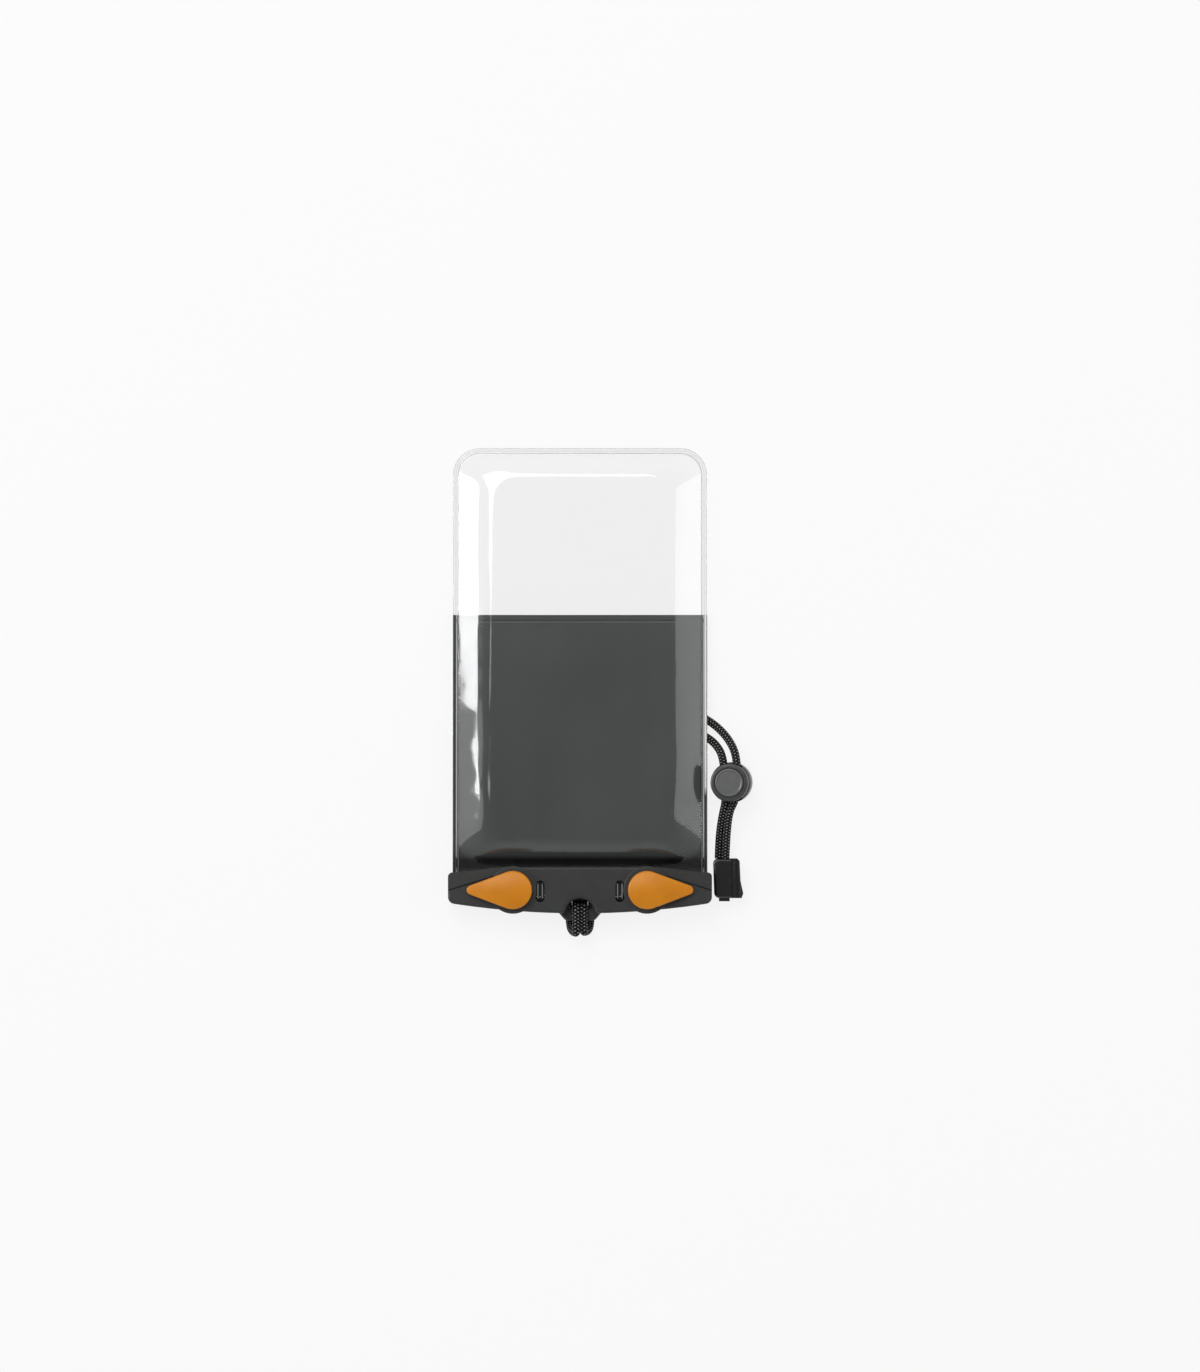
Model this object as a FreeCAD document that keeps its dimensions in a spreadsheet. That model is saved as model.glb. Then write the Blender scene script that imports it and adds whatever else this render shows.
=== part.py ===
import FreeCAD, Part
import math
import os
import Sketcher

V = FreeCAD.Vector
os.makedirs("parts", exist_ok=True)
doc = FreeCAD.newDocument("waterproof_phone_case")

# Driving dimensions, in millimetres and degrees. The case lies on its back: +Z points out of
# its front, +Y runs from the clip to the closed end of the pouch, and X runs along the clip.
sizes = doc.addObject("Spreadsheet::Sheet", "sizes")
driving = {
    # pouch: two films welded round three sides
    "pouch_width": 109.5, "pouch_length": 180.2, "pouch_corner": 11.5,
    "film": 0.45, "side_weld": 2.4, "end_weld": 2.9,
    "pocket_rise": 7.6, "side_run": 12.5, "end_run": 8.0, "mouth_run": 10.0, "mouth_start": 1.6,
    "window_reach": 72.0, "lap": 2.4, "lap_gap": 0.1, "lap_ramp": 0.8, "forming": 0.135, "cut_over": 5.0,
    # clip jaws
    "clip_length": 113.3, "pivot_span": 57.6, "mouth_reach": 9.9, "mouth_end_reach": 7.1,
    "shoulder_span": 66.0, "tail_reach": 10.1, "tail_end_reach": 5.6,
    "boss_radius": 10.2, "ring_inset": 0.2, "boss_depth": 4.2, "back_plate": 4.8, "front_plate": 5.6,
    "boss_step": 0.5, "boss_edge": 0.4, "nip_gap": 0.05, "lip_reach": 4.3,
    "tail_corner": 3.0, "mouth_corner": 1.6, "edge_round": 1.0,
    "facet_drop": 0.7, "facet_end": 0.9, "facet_root": 32.0, "facet_root_reach": 7.4,
    "crease_root": 0.35, "crease_end": 0.65, "crease_depth": 1.7, "overrun": 1.0,
    "land": 1.3, "channel": 1.2, "channel_depth": 0.8, "channel_length": 96.0,
    # split pegs of the back jaw and their slots
    "peg_span": 34.2, "peg_drop": 0.5, "slot_width": 3.9, "slot_length": 9.4,
    "peg_gap": 0.6, "peg_slit": 1.1, "slit_end": 1.0, "peg_sink": 1.2, "peg_root": 1.0,
    # lanyard eye, lug and notch
    "notch_radius": 6.4, "notch_rim": 1.3, "lug_reach": 13.5, "lug_root": 19.2, "lug_tip": 12.4,
    "lug_thickness": 4.0, "lug_shoulder": 0.6, "lug_overlap": 3.0, "eye_length": 9.2,
    "bar_width": 3.8, "eye_width": 4.8, "bar_round": 1.1, "relief_width": 10.0, "relief_depth": 3.25,
    # levers
    "lever_round": 8.2, "lever_tip": 2.0, "lever_centres": 17.8, "lever_height": 4.2,
    "crown_radius": 20.0, "ramp_radius": 72.0, "crown_turn": 60.0, "lever_edge": 0.8, "lever_gap": 0.1,
    "shaft_root": 0.5,
    "shaft_radius": 2.6, "running_gap": 0.06, "foot_length": 9.4, "foot_width": 3.6,
    "foot_height": 2.6, "foot_gap": 0.1, "key_gap": 0.25, "foot_room": 0.8, "film_gap": 0.6,
    # cord lock
    "cord": 3.5, "lock_x": 65.8, "lock_y": -42.3, "lock_lean": 8.0, "base_chamfer": 0.8,
    "barrel_base": 8.7, "barrel_rim": 8.15, "barrel_height": 13.2, "floor_wall": 0.8,
    "waist": 7.8, "waist_start": 7.2, "waist_height": 8.2, "rim_height": 3.0, "rim_slope": 0.6,
    "rim_round": 1.0, "bore_chamfer": 0.3,
    "bore_radius": 6.1, "spring_room": 3.6, "press": 1.6, "strand_spread": 2.9,
    "passage_gap": 0.35, "stem_floor": 0.8, "stem_chamfer": 0.5, "button_proud": 0.6,
    "button_round": 0.6, "button_dish": 0.35, "dish_start": 1.2, "spring_gap": 0.05,
    "wire": 0.6, "coil_radius": 4.2, "coil_turns": 2.5,
    # cord end
    "end_left": 57.2, "end_parting": 65.0, "end_right": 68.6, "end_top": -75.0,
    "end_length": 17.0, "end_thickness": 9.0, "end_flare": 1.6, "end_tab": 1.4, "end_gap": 0.05,
    "end_draft": 0.6, "end_corner": 2.2, "end_edge": 1.2, "tab_inset": 2.6, "tab_height": 2.0,
    "tab_root": 2.0, "rib_rise": 0.9, "rib_width": 0.9, "rib_first": 0.9, "rib_second": 2.7,
    "rib_splay": 0.7, "rib_round": 0.35, "foot_flare": 0.96, "flare_height": 2.0, "flare_start": 9.4,
    "end_chamfer": 1.0,
}
for row, (alias, number) in enumerate(driving.items(), start=1):
    sizes.set(f"A{row}", alias)
    sizes.set(f"B{row}", str(number))
    sizes.setAlias(f"B{row}", alias)
doc.recompute()

# Places worked out from the driving dimensions, as expressions.
PIVOT_X = "(sizes.pivot_span / 2)"
PIVOT_Y = "(-(sizes.pouch_length + sizes.mouth_reach - sizes.lug_reach) / 2)"
MOUTH_Y = f"({PIVOT_Y} + sizes.mouth_reach)"
TAIL_Y = f"({PIVOT_Y} - sizes.tail_reach)"
LUG_Y = f"({PIVOT_Y} - sizes.lug_reach)"
FAR_Y = f"({MOUTH_Y} + sizes.pouch_length)"
END_X = "(sizes.clip_length / 2)"
PLATE_Z = "sizes.boss_depth"
BACK_Z = "(sizes.boss_depth + sizes.back_plate)"
SPLIT_Z = f"({BACK_Z} + sizes.nip_gap + sizes.film)"
FRONT_Z = f"({SPLIT_Z} + sizes.film + sizes.nip_gap)"
FACE_Z = f"({FRONT_Z} + sizes.front_plate)"
LEVER_Z = f"({FACE_Z} + sizes.boss_step + sizes.lever_gap)"
SLOPE = f"(({SPLIT_Z} - sizes.film) / sizes.pouch_length)"
PEG_X = "(sizes.peg_span / 2)"
PEG_Y = f"({PIVOT_Y} - sizes.peg_drop)"


def value(expression):
    """The number that an expression of the sheet gives."""
    result = sizes.evalExpression(str(expression).replace("sizes.", ""))
    return float(getattr(result, "Value", result))


def new_body(label):
    body = doc.addObject("PartDesign::Body", label)
    body.Label = label
    return body


def new_sketch(body, name, role, height="0", along=None, turn=None):
    """A sketch on one of the body's own planes, raised, moved along (x, y) and turned by (axis, angle)."""
    sketch = body.newObject("Sketcher::SketchObject", f"{body.Name}_{name}")
    plane = next(item for item in body.Origin.OriginFeatures if item.Role == role)
    sketch.AttachmentSupport = (plane, "")
    sketch.MapMode = "FlatFace"
    if turn:
        sketch.AttachmentOffset = FreeCAD.Placement(V(), FreeCAD.Rotation(turn[0], value(turn[1])))
        sketch.setExpression("AttachmentOffset.Rotation.Angle", turn[1])
    if along:
        sketch.setExpression("AttachmentOffset.Base.x", along[0])
        sketch.setExpression("AttachmentOffset.Base.y", along[1])
    sketch.setExpression("AttachmentOffset.Base.z", height)
    return sketch


def bind(sketch, kind, edge, point, expression):
    where = (edge, point) if point else (edge,)
    index = sketch.addConstraint(Sketcher.Constraint(kind, *where, value(expression)))
    sketch.setExpression(f"Constraints[{index}]", str(expression))


def add_loop(sketch, corners):
    """A closed outline. A corner is (x, y), or (x, y, radius) where an arc leaves it and turns
    left on its way to the next corner, or (x, y, radius, "right") where that arc turns right."""
    first = sketch.GeometryCount
    count = len(corners)
    spots = [V(value(corner[0]), value(corner[1]), 0) for corner in corners]
    for index, corner in enumerate(corners):
        start, end = spots[index], spots[(index + 1) % count]
        if len(corner) == 2:
            sketch.addGeometry(Part.LineSegment(start, end), False)
            continue
        radius = value(corner[2])
        chord = end - start
        left = V(-chord.y, chord.x, 0).normalize()
        side = 1 if len(corner) == 3 else -1
        middle = (start + end) / 2
        centre = middle + left * side * math.sqrt(max(radius ** 2 - chord.Length ** 2 / 4, 0))
        through = centre + (middle - centre).normalize() * radius
        sketch.addGeometry(Part.Arc(start, through, end), False)
    for index in range(count):
        edge, after = first + index, first + (index + 1) % count
        ends_at = arc_point(sketch, edge, spots[(index + 1) % count])
        starts_at = arc_point(sketch, after, spots[(index + 1) % count])
        sketch.addConstraint(Sketcher.Constraint("Coincident", edge, ends_at, after, starts_at))
    for index, corner in enumerate(corners):
        edge = first + index
        point = arc_point(sketch, edge, spots[index])
        bind(sketch, "DistanceX", edge, point, corner[0])
        bind(sketch, "DistanceY", edge, point, corner[1])
        if len(corner) > 2:
            bind(sketch, "Radius", edge, 0, corner[2])
    return sketch


def arc_point(sketch, edge, spot):
    """1 or 2: the end of a sketch edge that lies at a spot."""
    return 1 if sketch.getPoint(edge, 1).distanceToPoint(spot) < 1e-4 else 2


def add_circle(sketch, x, y, radius):
    edge = sketch.addGeometry(Part.Circle(V(value(x), value(y), 0), V(0, 0, 1), value(radius)), False)
    bind(sketch, "DistanceX", edge, 3, x)
    bind(sketch, "DistanceY", edge, 3, y)
    bind(sketch, "Radius", edge, 0, radius)
    return sketch


def add_slot(sketch, x, y, half_x, half_y):
    """A slot with round ends, along the longer of its two half sizes."""
    if value(half_x) >= value(half_y):
        flat = f"({half_x} - {half_y})"
        corners = [(f"{x} - {flat}", f"{y} - {half_y}"), (f"{x} + {flat}", f"{y} - {half_y}", half_y),
                   (f"{x} + {flat} + {half_y}", y, half_y), (f"{x} + {flat}", f"{y} + {half_y}"),
                   (f"{x} - {flat}", f"{y} + {half_y}", half_y), (f"{x} - {flat} - {half_y}", y, half_y)]
    else:
        flat = f"({half_y} - {half_x})"
        corners = [(f"{x} + {half_x}", f"{y} - {flat}"), (f"{x} + {half_x}", f"{y} + {flat}", half_x),
                   (x, f"{y} + {flat} + {half_x}", half_x), (f"{x} - {half_x}", f"{y} + {flat}"),
                   (f"{x} - {half_x}", f"{y} - {flat}", half_x), (x, f"{y} - {flat} - {half_x}", half_x)]
    return add_loop(sketch, corners)


def add_box(sketch, low_x, low_y, high_x, high_y):
    return add_loop(sketch, [(low_x, low_y), (high_x, low_y), (high_x, high_y), (low_x, high_y)])


def add_round_box(sketch, half_x, low_y, high_y, radius):
    """A box with four round corners, centred on X."""
    return add_loop(sketch, [
        (f"-({half_x}) + {radius}", low_y), (f"{half_x} - {radius}", low_y, radius),
        (half_x, f"{low_y} + {radius}"), (half_x, f"{high_y} - {radius}", radius),
        (f"{half_x} - {radius}", high_y), (f"-({half_x}) + {radius}", high_y, radius),
        (f"-({half_x})", f"{high_y} - {radius}"), (f"-({half_x})", f"{low_y} + {radius}", radius)])


def pad(body, sketch, length, midplane=False, backwards=False):
    feature = body.newObject("PartDesign::Pad", f"{sketch.Name}_pad")
    feature.Profile = sketch
    feature.setExpression("Length", length)
    feature.Midplane = midplane
    feature.Reversed = backwards
    doc.recompute()
    return feature


def pocket(body, sketch, length, upwards=False, midplane=False):
    """A pocket that goes into the solid against the sketch's normal, or along it (upwards)."""
    before = body.Shape.Volume
    feature = body.newObject("PartDesign::Pocket", f"{sketch.Name}_pocket")
    feature.Profile = sketch
    feature.setExpression("Length", length)
    feature.Reversed = upwards
    feature.Midplane = midplane
    doc.recompute()
    if body.Shape.Volume > before - 1e-4:
        raise RuntimeError(f"{feature.Name} cuts nothing")
    return feature


def dress(body, kind, size, chosen):
    """A fillet or a chamfer on the edges of the body's solid that the test chooses."""
    base = body.Tip
    names = [f"Edge{index}" for index, edge in enumerate(base.Shape.Edges, start=1) if chosen(edge)]
    feature = body.newObject(f"PartDesign::{kind}", f"{body.Name}_{kind}_{len(body.Group)}")
    feature.Base = (base, names)
    feature.setExpression("Radius" if kind == "Fillet" else "Size", size)
    doc.recompute()
    return feature


def level(edge, height):
    """Whether an edge lies flat at a height."""
    box = edge.BoundBox
    return abs(box.ZMin - height) < 0.02 and abs(box.ZMax - height) < 0.02


def upright(edge):
    """Whether an edge is a straight line along Z."""
    box = edge.BoundBox
    return box.XLength < 0.01 and box.YLength < 0.01


# Outline that both jaws share: a bar whose tail edge is one long bow, with sloped mouth shoulders.
BOW = "(sizes.tail_reach - sizes.tail_end_reach)"
JAW_OUTLINE = [
    (f"-{END_X}", f"{PIVOT_Y} - sizes.tail_end_reach", f"({END_X}^2 + {BOW}^2) / (2 * {BOW})"),
    (END_X, f"{PIVOT_Y} - sizes.tail_end_reach"),
    (END_X, f"{PIVOT_Y} + sizes.mouth_end_reach"),
    ("sizes.shoulder_span / 2", MOUTH_Y),
    ("-sizes.shoulder_span / 2", MOUTH_Y),
    (f"-{END_X}", f"{PIVOT_Y} + sizes.mouth_end_reach"),
]


def jaw_blank(label, height, thickness, rim):
    """The plain bar of a jaw, with its four end corners and its outer rim rounded."""
    body = new_body(label)
    outline = add_loop(new_sketch(body, "outline", "XY_Plane", height), JAW_OUTLINE)
    pad(body, outline, thickness)
    half, pivot = value(END_X), value(PIVOT_Y)
    dress(body, "Fillet", "sizes.tail_corner",
          lambda edge: upright(edge) and abs(edge.BoundBox.XMax) > half - 0.01 and edge.BoundBox.YMax < pivot)
    dress(body, "Fillet", "sizes.mouth_corner",
          lambda edge: upright(edge) and abs(edge.BoundBox.XMax) > half - 0.01 and edge.BoundBox.YMax > pivot)
    dress(body, "Fillet", "sizes.edge_round", lambda edge: level(edge, value(rim)))
    return body


def seal_channels(body, height, upwards):
    """Two long channels in a jaw's inner face, which leave three lands that pinch the films."""
    sketch = new_sketch(body, "channels", "XY_Plane", height)
    top = MOUTH_Y
    for _ in range(2):
        top = f"({top} - sizes.land)"
        low = f"({top} - sizes.channel)"
        add_box(sketch, "-sizes.channel_length / 2", low, "sizes.channel_length / 2", top)
        top = low
    pocket(body, sketch, "sizes.channel_depth", upwards)


def key_hole(body, name, side, height, angle, depth, upwards=False):
    """A round hole for a lever's shaft, with a slot that lets its cross foot through at one angle."""
    shaft = new_sketch(body, f"{name}_shaft", "XY_Plane", height)
    add_circle(shaft, f"{side} * {PIVOT_X}", PIVOT_Y, "(sizes.shaft_radius + sizes.running_gap)")
    pocket(body, shaft, depth, upwards)
    slot = new_sketch(body, f"{name}_key", "XY_Plane", height, (f"{side} * {PIVOT_X}", PIVOT_Y),
                      (V(0, 0, 1), angle))
    add_slot(slot, "0", "0", "(sizes.foot_length / 2 + sizes.key_gap)",
             "(sizes.foot_width / 2 + sizes.key_gap)")
    pocket(body, slot, depth, upwards)


def clip_front_jaw():
    """The front half of the clip: bar, lowered facets on the pouch's side, bosses, slots and notch."""
    body = jaw_blank("clip_front_jaw", FRONT_Z, "sizes.front_plate", FACE_Z)
    facets = new_sketch(body, "facets", "XY_Plane", FACE_Z)
    for side in ("-1", "1"):
        root = (f"{side} * sizes.facet_root", f"{PIVOT_Y} + sizes.facet_root_reach")
        end = (f"{side} * ({END_X} + sizes.overrun)", f"{PIVOT_Y} - sizes.facet_end")
        out = (f"{side} * ({END_X} + sizes.overrun)", f"{MOUTH_Y} + sizes.overrun")
        back = (f"{side} * sizes.facet_root", f"{MOUTH_Y} + sizes.overrun")
        add_loop(facets, [root, back, out, end] if side == "-1" else [root, end, out, back])
    pocket(body, facets, "sizes.facet_drop")
    creases = new_sketch(body, "creases", "XY_Plane", FACE_Z)
    for side in ("-1", "1"):
        root_y, end_y = f"{PIVOT_Y} + sizes.facet_root_reach", f"{PIVOT_Y} - sizes.facet_end"
        root_x, end_x = f"{side} * sizes.facet_root", f"{side} * ({END_X} + sizes.overrun)"
        corners = [(root_x, root_y), (end_x, end_y), (end_x, f"{end_y} + sizes.crease_end"),
                   (root_x, f"{root_y} + sizes.crease_root")]
        add_loop(creases, corners if side == "1" else corners[::-1])
    pocket(body, creases, "sizes.crease_depth")
    face = value(FACE_Z)
    bosses = new_sketch(body, "bosses", "XY_Plane", FRONT_Z)
    for side in ("-1", "1"):
        add_circle(bosses, f"{side} * {PIVOT_X}", PIVOT_Y, "sizes.boss_radius")
    pad(body, bosses, "sizes.front_plate + sizes.boss_step")
    top = face + value("sizes.boss_step")
    dress(body, "Fillet", "sizes.boss_edge", lambda edge: level(edge, top))
    notch = new_sketch(body, "notch", "XY_Plane", FACE_Z)
    add_circle(notch, "0", TAIL_Y, "sizes.notch_radius")
    pocket(body, notch, "sizes.front_plate")
    slots = new_sketch(body, "slots", "XY_Plane", FACE_Z)
    for side in ("-1", "1"):
        add_slot(slots, f"{side} * {PEG_X}", PEG_Y, "(sizes.slot_width / 2)", "(sizes.slot_length / 2)")
    pocket(body, slots, "sizes.front_plate")
    radius = value("sizes.notch_radius")
    dress(body, "Fillet", "sizes.notch_rim",
          lambda edge: level(edge, face) and abs(getattr(edge.Curve, "Radius", 0) - radius) < 0.01)
    for side, name in (("-1", "left"), ("1", "right")):
        key_hole(body, name, side, f"({FACE_Z} + sizes.boss_step)", "45",
                 "sizes.front_plate + sizes.boss_step")
    seal_channels(body, FRONT_Z, True)
    return body


def clip_back_jaw():
    """The back half of the clip: bar, boss rings, key slots, split pegs, and the lug with its eye."""
    body = jaw_blank("clip_back_jaw", PLATE_Z, "sizes.back_plate", PLATE_Z)
    lug = new_sketch(body, "lug", "XY_Plane", f"({BACK_Z} - sizes.lug_thickness)")
    shoulder, inside = f"{TAIL_Y} + sizes.lug_shoulder", f"{TAIL_Y} + sizes.lug_overlap"
    add_loop(lug, [("-sizes.lug_tip / 2", LUG_Y), ("sizes.lug_tip / 2", LUG_Y),
                   ("sizes.lug_root / 2", shoulder), ("sizes.lug_root / 2", inside),
                   ("-sizes.lug_root / 2", inside), ("-sizes.lug_root / 2", shoulder)])
    pad(body, lug, "sizes.lug_thickness")
    lug_y = value(LUG_Y)
    dress(body, "Fillet", "sizes.tail_corner",
          lambda edge: upright(edge) and abs(edge.BoundBox.YMax - lug_y) < 0.01)
    bosses = new_sketch(body, "bosses", "XY_Plane")
    rooms = new_sketch(body, "rooms", "XY_Plane")
    for side in ("-1", "1"):
        add_circle(bosses, f"{side} * {PIVOT_X}", PIVOT_Y, "sizes.boss_radius - sizes.ring_inset")
        add_circle(rooms, f"{side} * {PIVOT_X}", PIVOT_Y, "sizes.foot_length / 2 + sizes.foot_room")
    pad(body, bosses, BACK_Z)
    dress(body, "Fillet", "sizes.edge_round", lambda edge: level(edge, 0))
    pocket(body, rooms, "sizes.boss_depth", True)
    eye = new_sketch(body, "eye", "XY_Plane", BACK_Z)
    middle = f"({LUG_Y} + sizes.bar_width + sizes.eye_width / 2)"
    add_slot(eye, "0", middle, "(sizes.eye_length / 2)", "(sizes.eye_width / 2)")
    pocket(body, eye, "sizes.back_plate")
    relief = new_sketch(body, "relief", "XY_Plane", PLATE_Z)
    add_box(relief, "-sizes.relief_width / 2", middle, "sizes.relief_width / 2",
            f"{MOUTH_Y} + sizes.overrun")
    pocket(body, relief, "sizes.relief_depth", True)
    back = value(BACK_Z)
    bar_low = value(f"{BACK_Z} - sizes.lug_thickness")
    dress(body, "Fillet", "sizes.bar_round",
          lambda edge: (level(edge, back) or level(edge, bar_low)) and bar_edge(edge))
    for side, name in (("-1", "left"), ("1", "right")):
        key_hole(body, name, side, BACK_Z, "90", "sizes.back_plate")
    seal_channels(body, BACK_Z, False)
    pegs = new_sketch(body, "pegs", "XY_Plane", f"({BACK_Z} - sizes.peg_root)")
    for side in ("-1", "1"):
        add_slot(pegs, f"{side} * {PEG_X}", PEG_Y, "(sizes.slot_width / 2 - sizes.peg_gap)",
                 "(sizes.slot_length / 2 - sizes.peg_gap)")
    rise = f"({FACE_Z} - {BACK_Z} - sizes.peg_sink)"
    pad(body, pegs, f"{rise} + sizes.peg_root")
    slits = new_sketch(body, "slits", "XY_Plane", f"({BACK_Z} + {rise})")
    for side in ("-1", "1"):
        half_slit = "(sizes.slot_length / 2 - sizes.peg_gap - sizes.slit_end)"
        add_box(slits, f"{side} * {PEG_X} - sizes.peg_slit / 2", f"{PEG_Y} - {half_slit}",
                f"{side} * {PEG_X} + sizes.peg_slit / 2", f"{PEG_Y} + {half_slit}")
    pocket(body, slits, rise)
    return body


def bar_edge(edge):
    """Whether an edge runs along the lug's bar, on its outer side or inside the eye."""
    box = edge.BoundBox
    outer, inner = value(LUG_Y), value(f"{LUG_Y} + sizes.bar_width")
    straight = box.YLength < 0.02
    return straight and (abs(box.YMin - outer) < 0.02 or abs(box.YMin - inner) < 0.02)


def crown_axis(sketch, reach, height):
    """A construction line below a crown's profile, which the profile turns about."""
    line = Part.LineSegment(V(-value(reach), value(height), 0), V(value(reach), value(height), 0))
    edge = sketch.addGeometry(line, True)
    for point, along in ((1, f"-{reach}"), (2, reach)):
        bind(sketch, "DistanceX", edge, point, along)
        bind(sketch, "DistanceY", edge, point, height)


def groove(body, sketch, angle):
    """Turns a sketch's profile about its construction line, and cuts what it sweeps."""
    before = body.Shape.Volume
    feature = body.newObject("PartDesign::Groove", f"{sketch.Name}_groove")
    feature.Profile = sketch
    feature.ReferenceAxis = (sketch, ["Axis0"])
    feature.setExpression("Angle", angle)
    feature.Midplane = True
    doc.recompute()
    if body.Shape.Volume > before - 1e-4:
        raise RuntimeError(f"{feature.Name} cuts nothing")


def lever(label, side, rest_angle):
    """A teardrop lever in one piece with its shaft and cross foot; local +X runs to its tip."""
    body = new_body(label)
    sine = "((sizes.lever_round - sizes.lever_tip) / sizes.lever_centres)"
    cosine = f"sqrt(1 - {sine}^2)"
    big_x, big_y = f"(sizes.lever_round * {sine})", f"(sizes.lever_round * {cosine})"
    tip_x, tip_y = f"(sizes.lever_centres + sizes.lever_tip * {sine})", f"(sizes.lever_tip * {cosine})"
    head = new_sketch(body, "head", "XY_Plane")
    add_loop(head, [("-sizes.lever_round", "0", "sizes.lever_round"), (big_x, f"-{big_y}"),
                    (tip_x, f"-{tip_y}", "sizes.lever_tip"), (tip_x, tip_y),
                    (big_x, big_y, "sizes.lever_round")])
    pad(body, head, "sizes.lever_height")
    reach = "(sizes.lever_round + sizes.overrun)"
    crown_z = f"(sizes.lever_height - sizes.crown_radius + sqrt(sizes.crown_radius^2 - {reach}^2))"
    crown = new_sketch(body, "crown", "YZ_Plane")
    add_loop(crown, [(f"-{reach}", crown_z, "sizes.crown_radius", "right"), (reach, crown_z),
                     (reach, "2 * sizes.lever_height"), (f"-{reach}", "2 * sizes.lever_height")])
    crown_axis(crown, reach, "(sizes.lever_height - sizes.ramp_radius)")
    groove(body, crown, "sizes.crown_turn")
    dress(body, "Fillet", "sizes.lever_edge", lambda edge: edge.BoundBox.ZMin > 0.5 and not upright(edge))
    down = f"({LEVER_Z} - {PLATE_Z} + sizes.foot_gap)"
    shaft = add_circle(new_sketch(body, "shaft", "XY_Plane"), "0", "0", "sizes.shaft_radius")
    pad(body, shaft, f"{down} + sizes.shaft_root", backwards=True)
    foot = new_sketch(body, "foot", "XY_Plane", f"(-{down})")
    add_slot(foot, "0", "0", "(sizes.foot_length / 2)", "(sizes.foot_width / 2)")
    pad(body, foot, "sizes.foot_height", backwards=True)
    body.Placement = FreeCAD.Placement(V(), FreeCAD.Rotation(V(0, 0, 1), rest_angle))
    body.setExpression("Placement.Base.x", f"{side} * {PIVOT_X}")
    body.setExpression("Placement.Base.y", PIVOT_Y)
    body.setExpression("Placement.Base.z", LEVER_Z)
    return body


# Films. In side view each is a strip that leaves the clip level and then slopes down to the floor.
LIP_Y = f"({PIVOT_Y} - sizes.lip_reach)"
TILT = f"atan({SLOPE})"


def slope_z(y):
    """Height of the plane between the two films at a place along Y."""
    return f"({SPLIT_Z} - ({y} - {MOUTH_Y}) * {SLOPE})"


def film_strip(body, corners):
    """A strip across the whole pouch from its side view."""
    side = add_loop(new_sketch(body, "side", "YZ_Plane"), corners)
    pad(body, side, "sizes.pouch_width", midplane=True)


def round_far_corners(body):
    """Cuts the two far corners of a film to a quarter round."""
    waste = new_sketch(body, "waste", "XY_Plane", f"({SPLIT_Z} + sizes.cut_over)")
    half, start = "(sizes.pouch_width / 2)", f"({FAR_Y} - sizes.pouch_corner)"
    inner = f"({half} - sizes.pouch_corner)"
    out_x, out_y = f"({half} + sizes.overrun)", f"({FAR_Y} + sizes.overrun)"
    add_loop(waste, [(inner, FAR_Y), (inner, out_y), (out_x, out_y), (out_x, start),
                     (half, start, "sizes.pouch_corner")])
    add_loop(waste, [(f"-{inner}", FAR_Y, "sizes.pouch_corner"), (f"-{half}", start),
                     (f"-{out_x}", start), (f"-{out_x}", out_y), (f"-{inner}", out_y)])
    pocket(body, waste, f"({SPLIT_Z} + 2 * sizes.cut_over)")


def lip_holes(body):
    """Holes in a film's lip for the shafts and pegs, and a relief round the lanyard's notch."""
    holes = new_sketch(body, "holes", "XY_Plane", f"({SPLIT_Z} + sizes.cut_over)")
    for side in ("-1", "1"):
        add_circle(holes, f"{side} * {PIVOT_X}", PIVOT_Y, "sizes.shaft_radius + sizes.film_gap")
        add_slot(holes, f"{side} * {PEG_X}", PEG_Y, "(sizes.slot_width / 2)", "(sizes.slot_length / 2)")
    reach = "(sizes.notch_radius + sizes.overrun)"
    add_box(holes, f"-{reach}", f"{TAIL_Y} - sizes.overrun", reach, f"{TAIL_Y} + {reach}")
    pocket(body, holes, "2 * sizes.cut_over")


def pouch_front_film():
    """The clear front film, formed to stand up over what the pouch holds."""
    body = new_body("pouch_front_film")
    far = slope_z(FAR_Y)
    film_strip(body, [(LIP_Y, SPLIT_Z), (MOUTH_Y, SPLIT_Z), (FAR_Y, far), (FAR_Y, f"{far} + sizes.film"),
                      (MOUTH_Y, f"{SPLIT_Z} + sizes.film"), (LIP_Y, f"{SPLIT_Z} + sizes.film")])
    round_far_corners(body)
    for name, skin, kind in (("outer", "sizes.film", "AdditiveLoft"), ("inner", "0", "SubtractiveLoft")):
        bulge(body, name, skin, kind)
    lip_holes(body)
    return body


# How far the formed film has come in from the weld, and risen, at each section of its shell.
SHELL = ((0.0, 0.0), (0.40, 0.40), (0.78, 0.82), (1.0, 0.97), (1.3, 1.0))


def bulge(body, name, skin, kind):
    """The formed shell: a loft through rounded outlines that close in as they rise."""
    sections = []
    for index, (inward, upward) in enumerate(SHELL):
        height = f"(sizes.pocket_rise * {upward} + {skin})" if index else "0"
        inset = "0" if skin != "0" else "(sizes.film + sizes.forming)"
        sketch = new_sketch(body, f"{name}_{index}", "XY_Plane", f"({SPLIT_Z} + {height})",
                            ("0", MOUTH_Y), (V(-1, 0, 0), TILT))
        half = f"(sizes.pouch_width / 2 - sizes.side_weld - sizes.side_run * {inward} - {inset})"
        low = f"(sizes.mouth_start + sizes.mouth_run * {inward} + {inset})"
        high = f"(sizes.pouch_length - sizes.end_weld - sizes.end_run * {inward} - {inset})"
        add_round_box(sketch, half, low, high, "(sizes.pouch_corner - sizes.side_weld)")
        sections.append(sketch)
    loft = body.newObject(f"PartDesign::{kind}", f"{body.Name}_{name}_loft")
    loft.Profile = sections[0]
    loft.Sections = sections[1:]
    loft.Ruled = False
    doc.recompute()
    return loft


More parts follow.
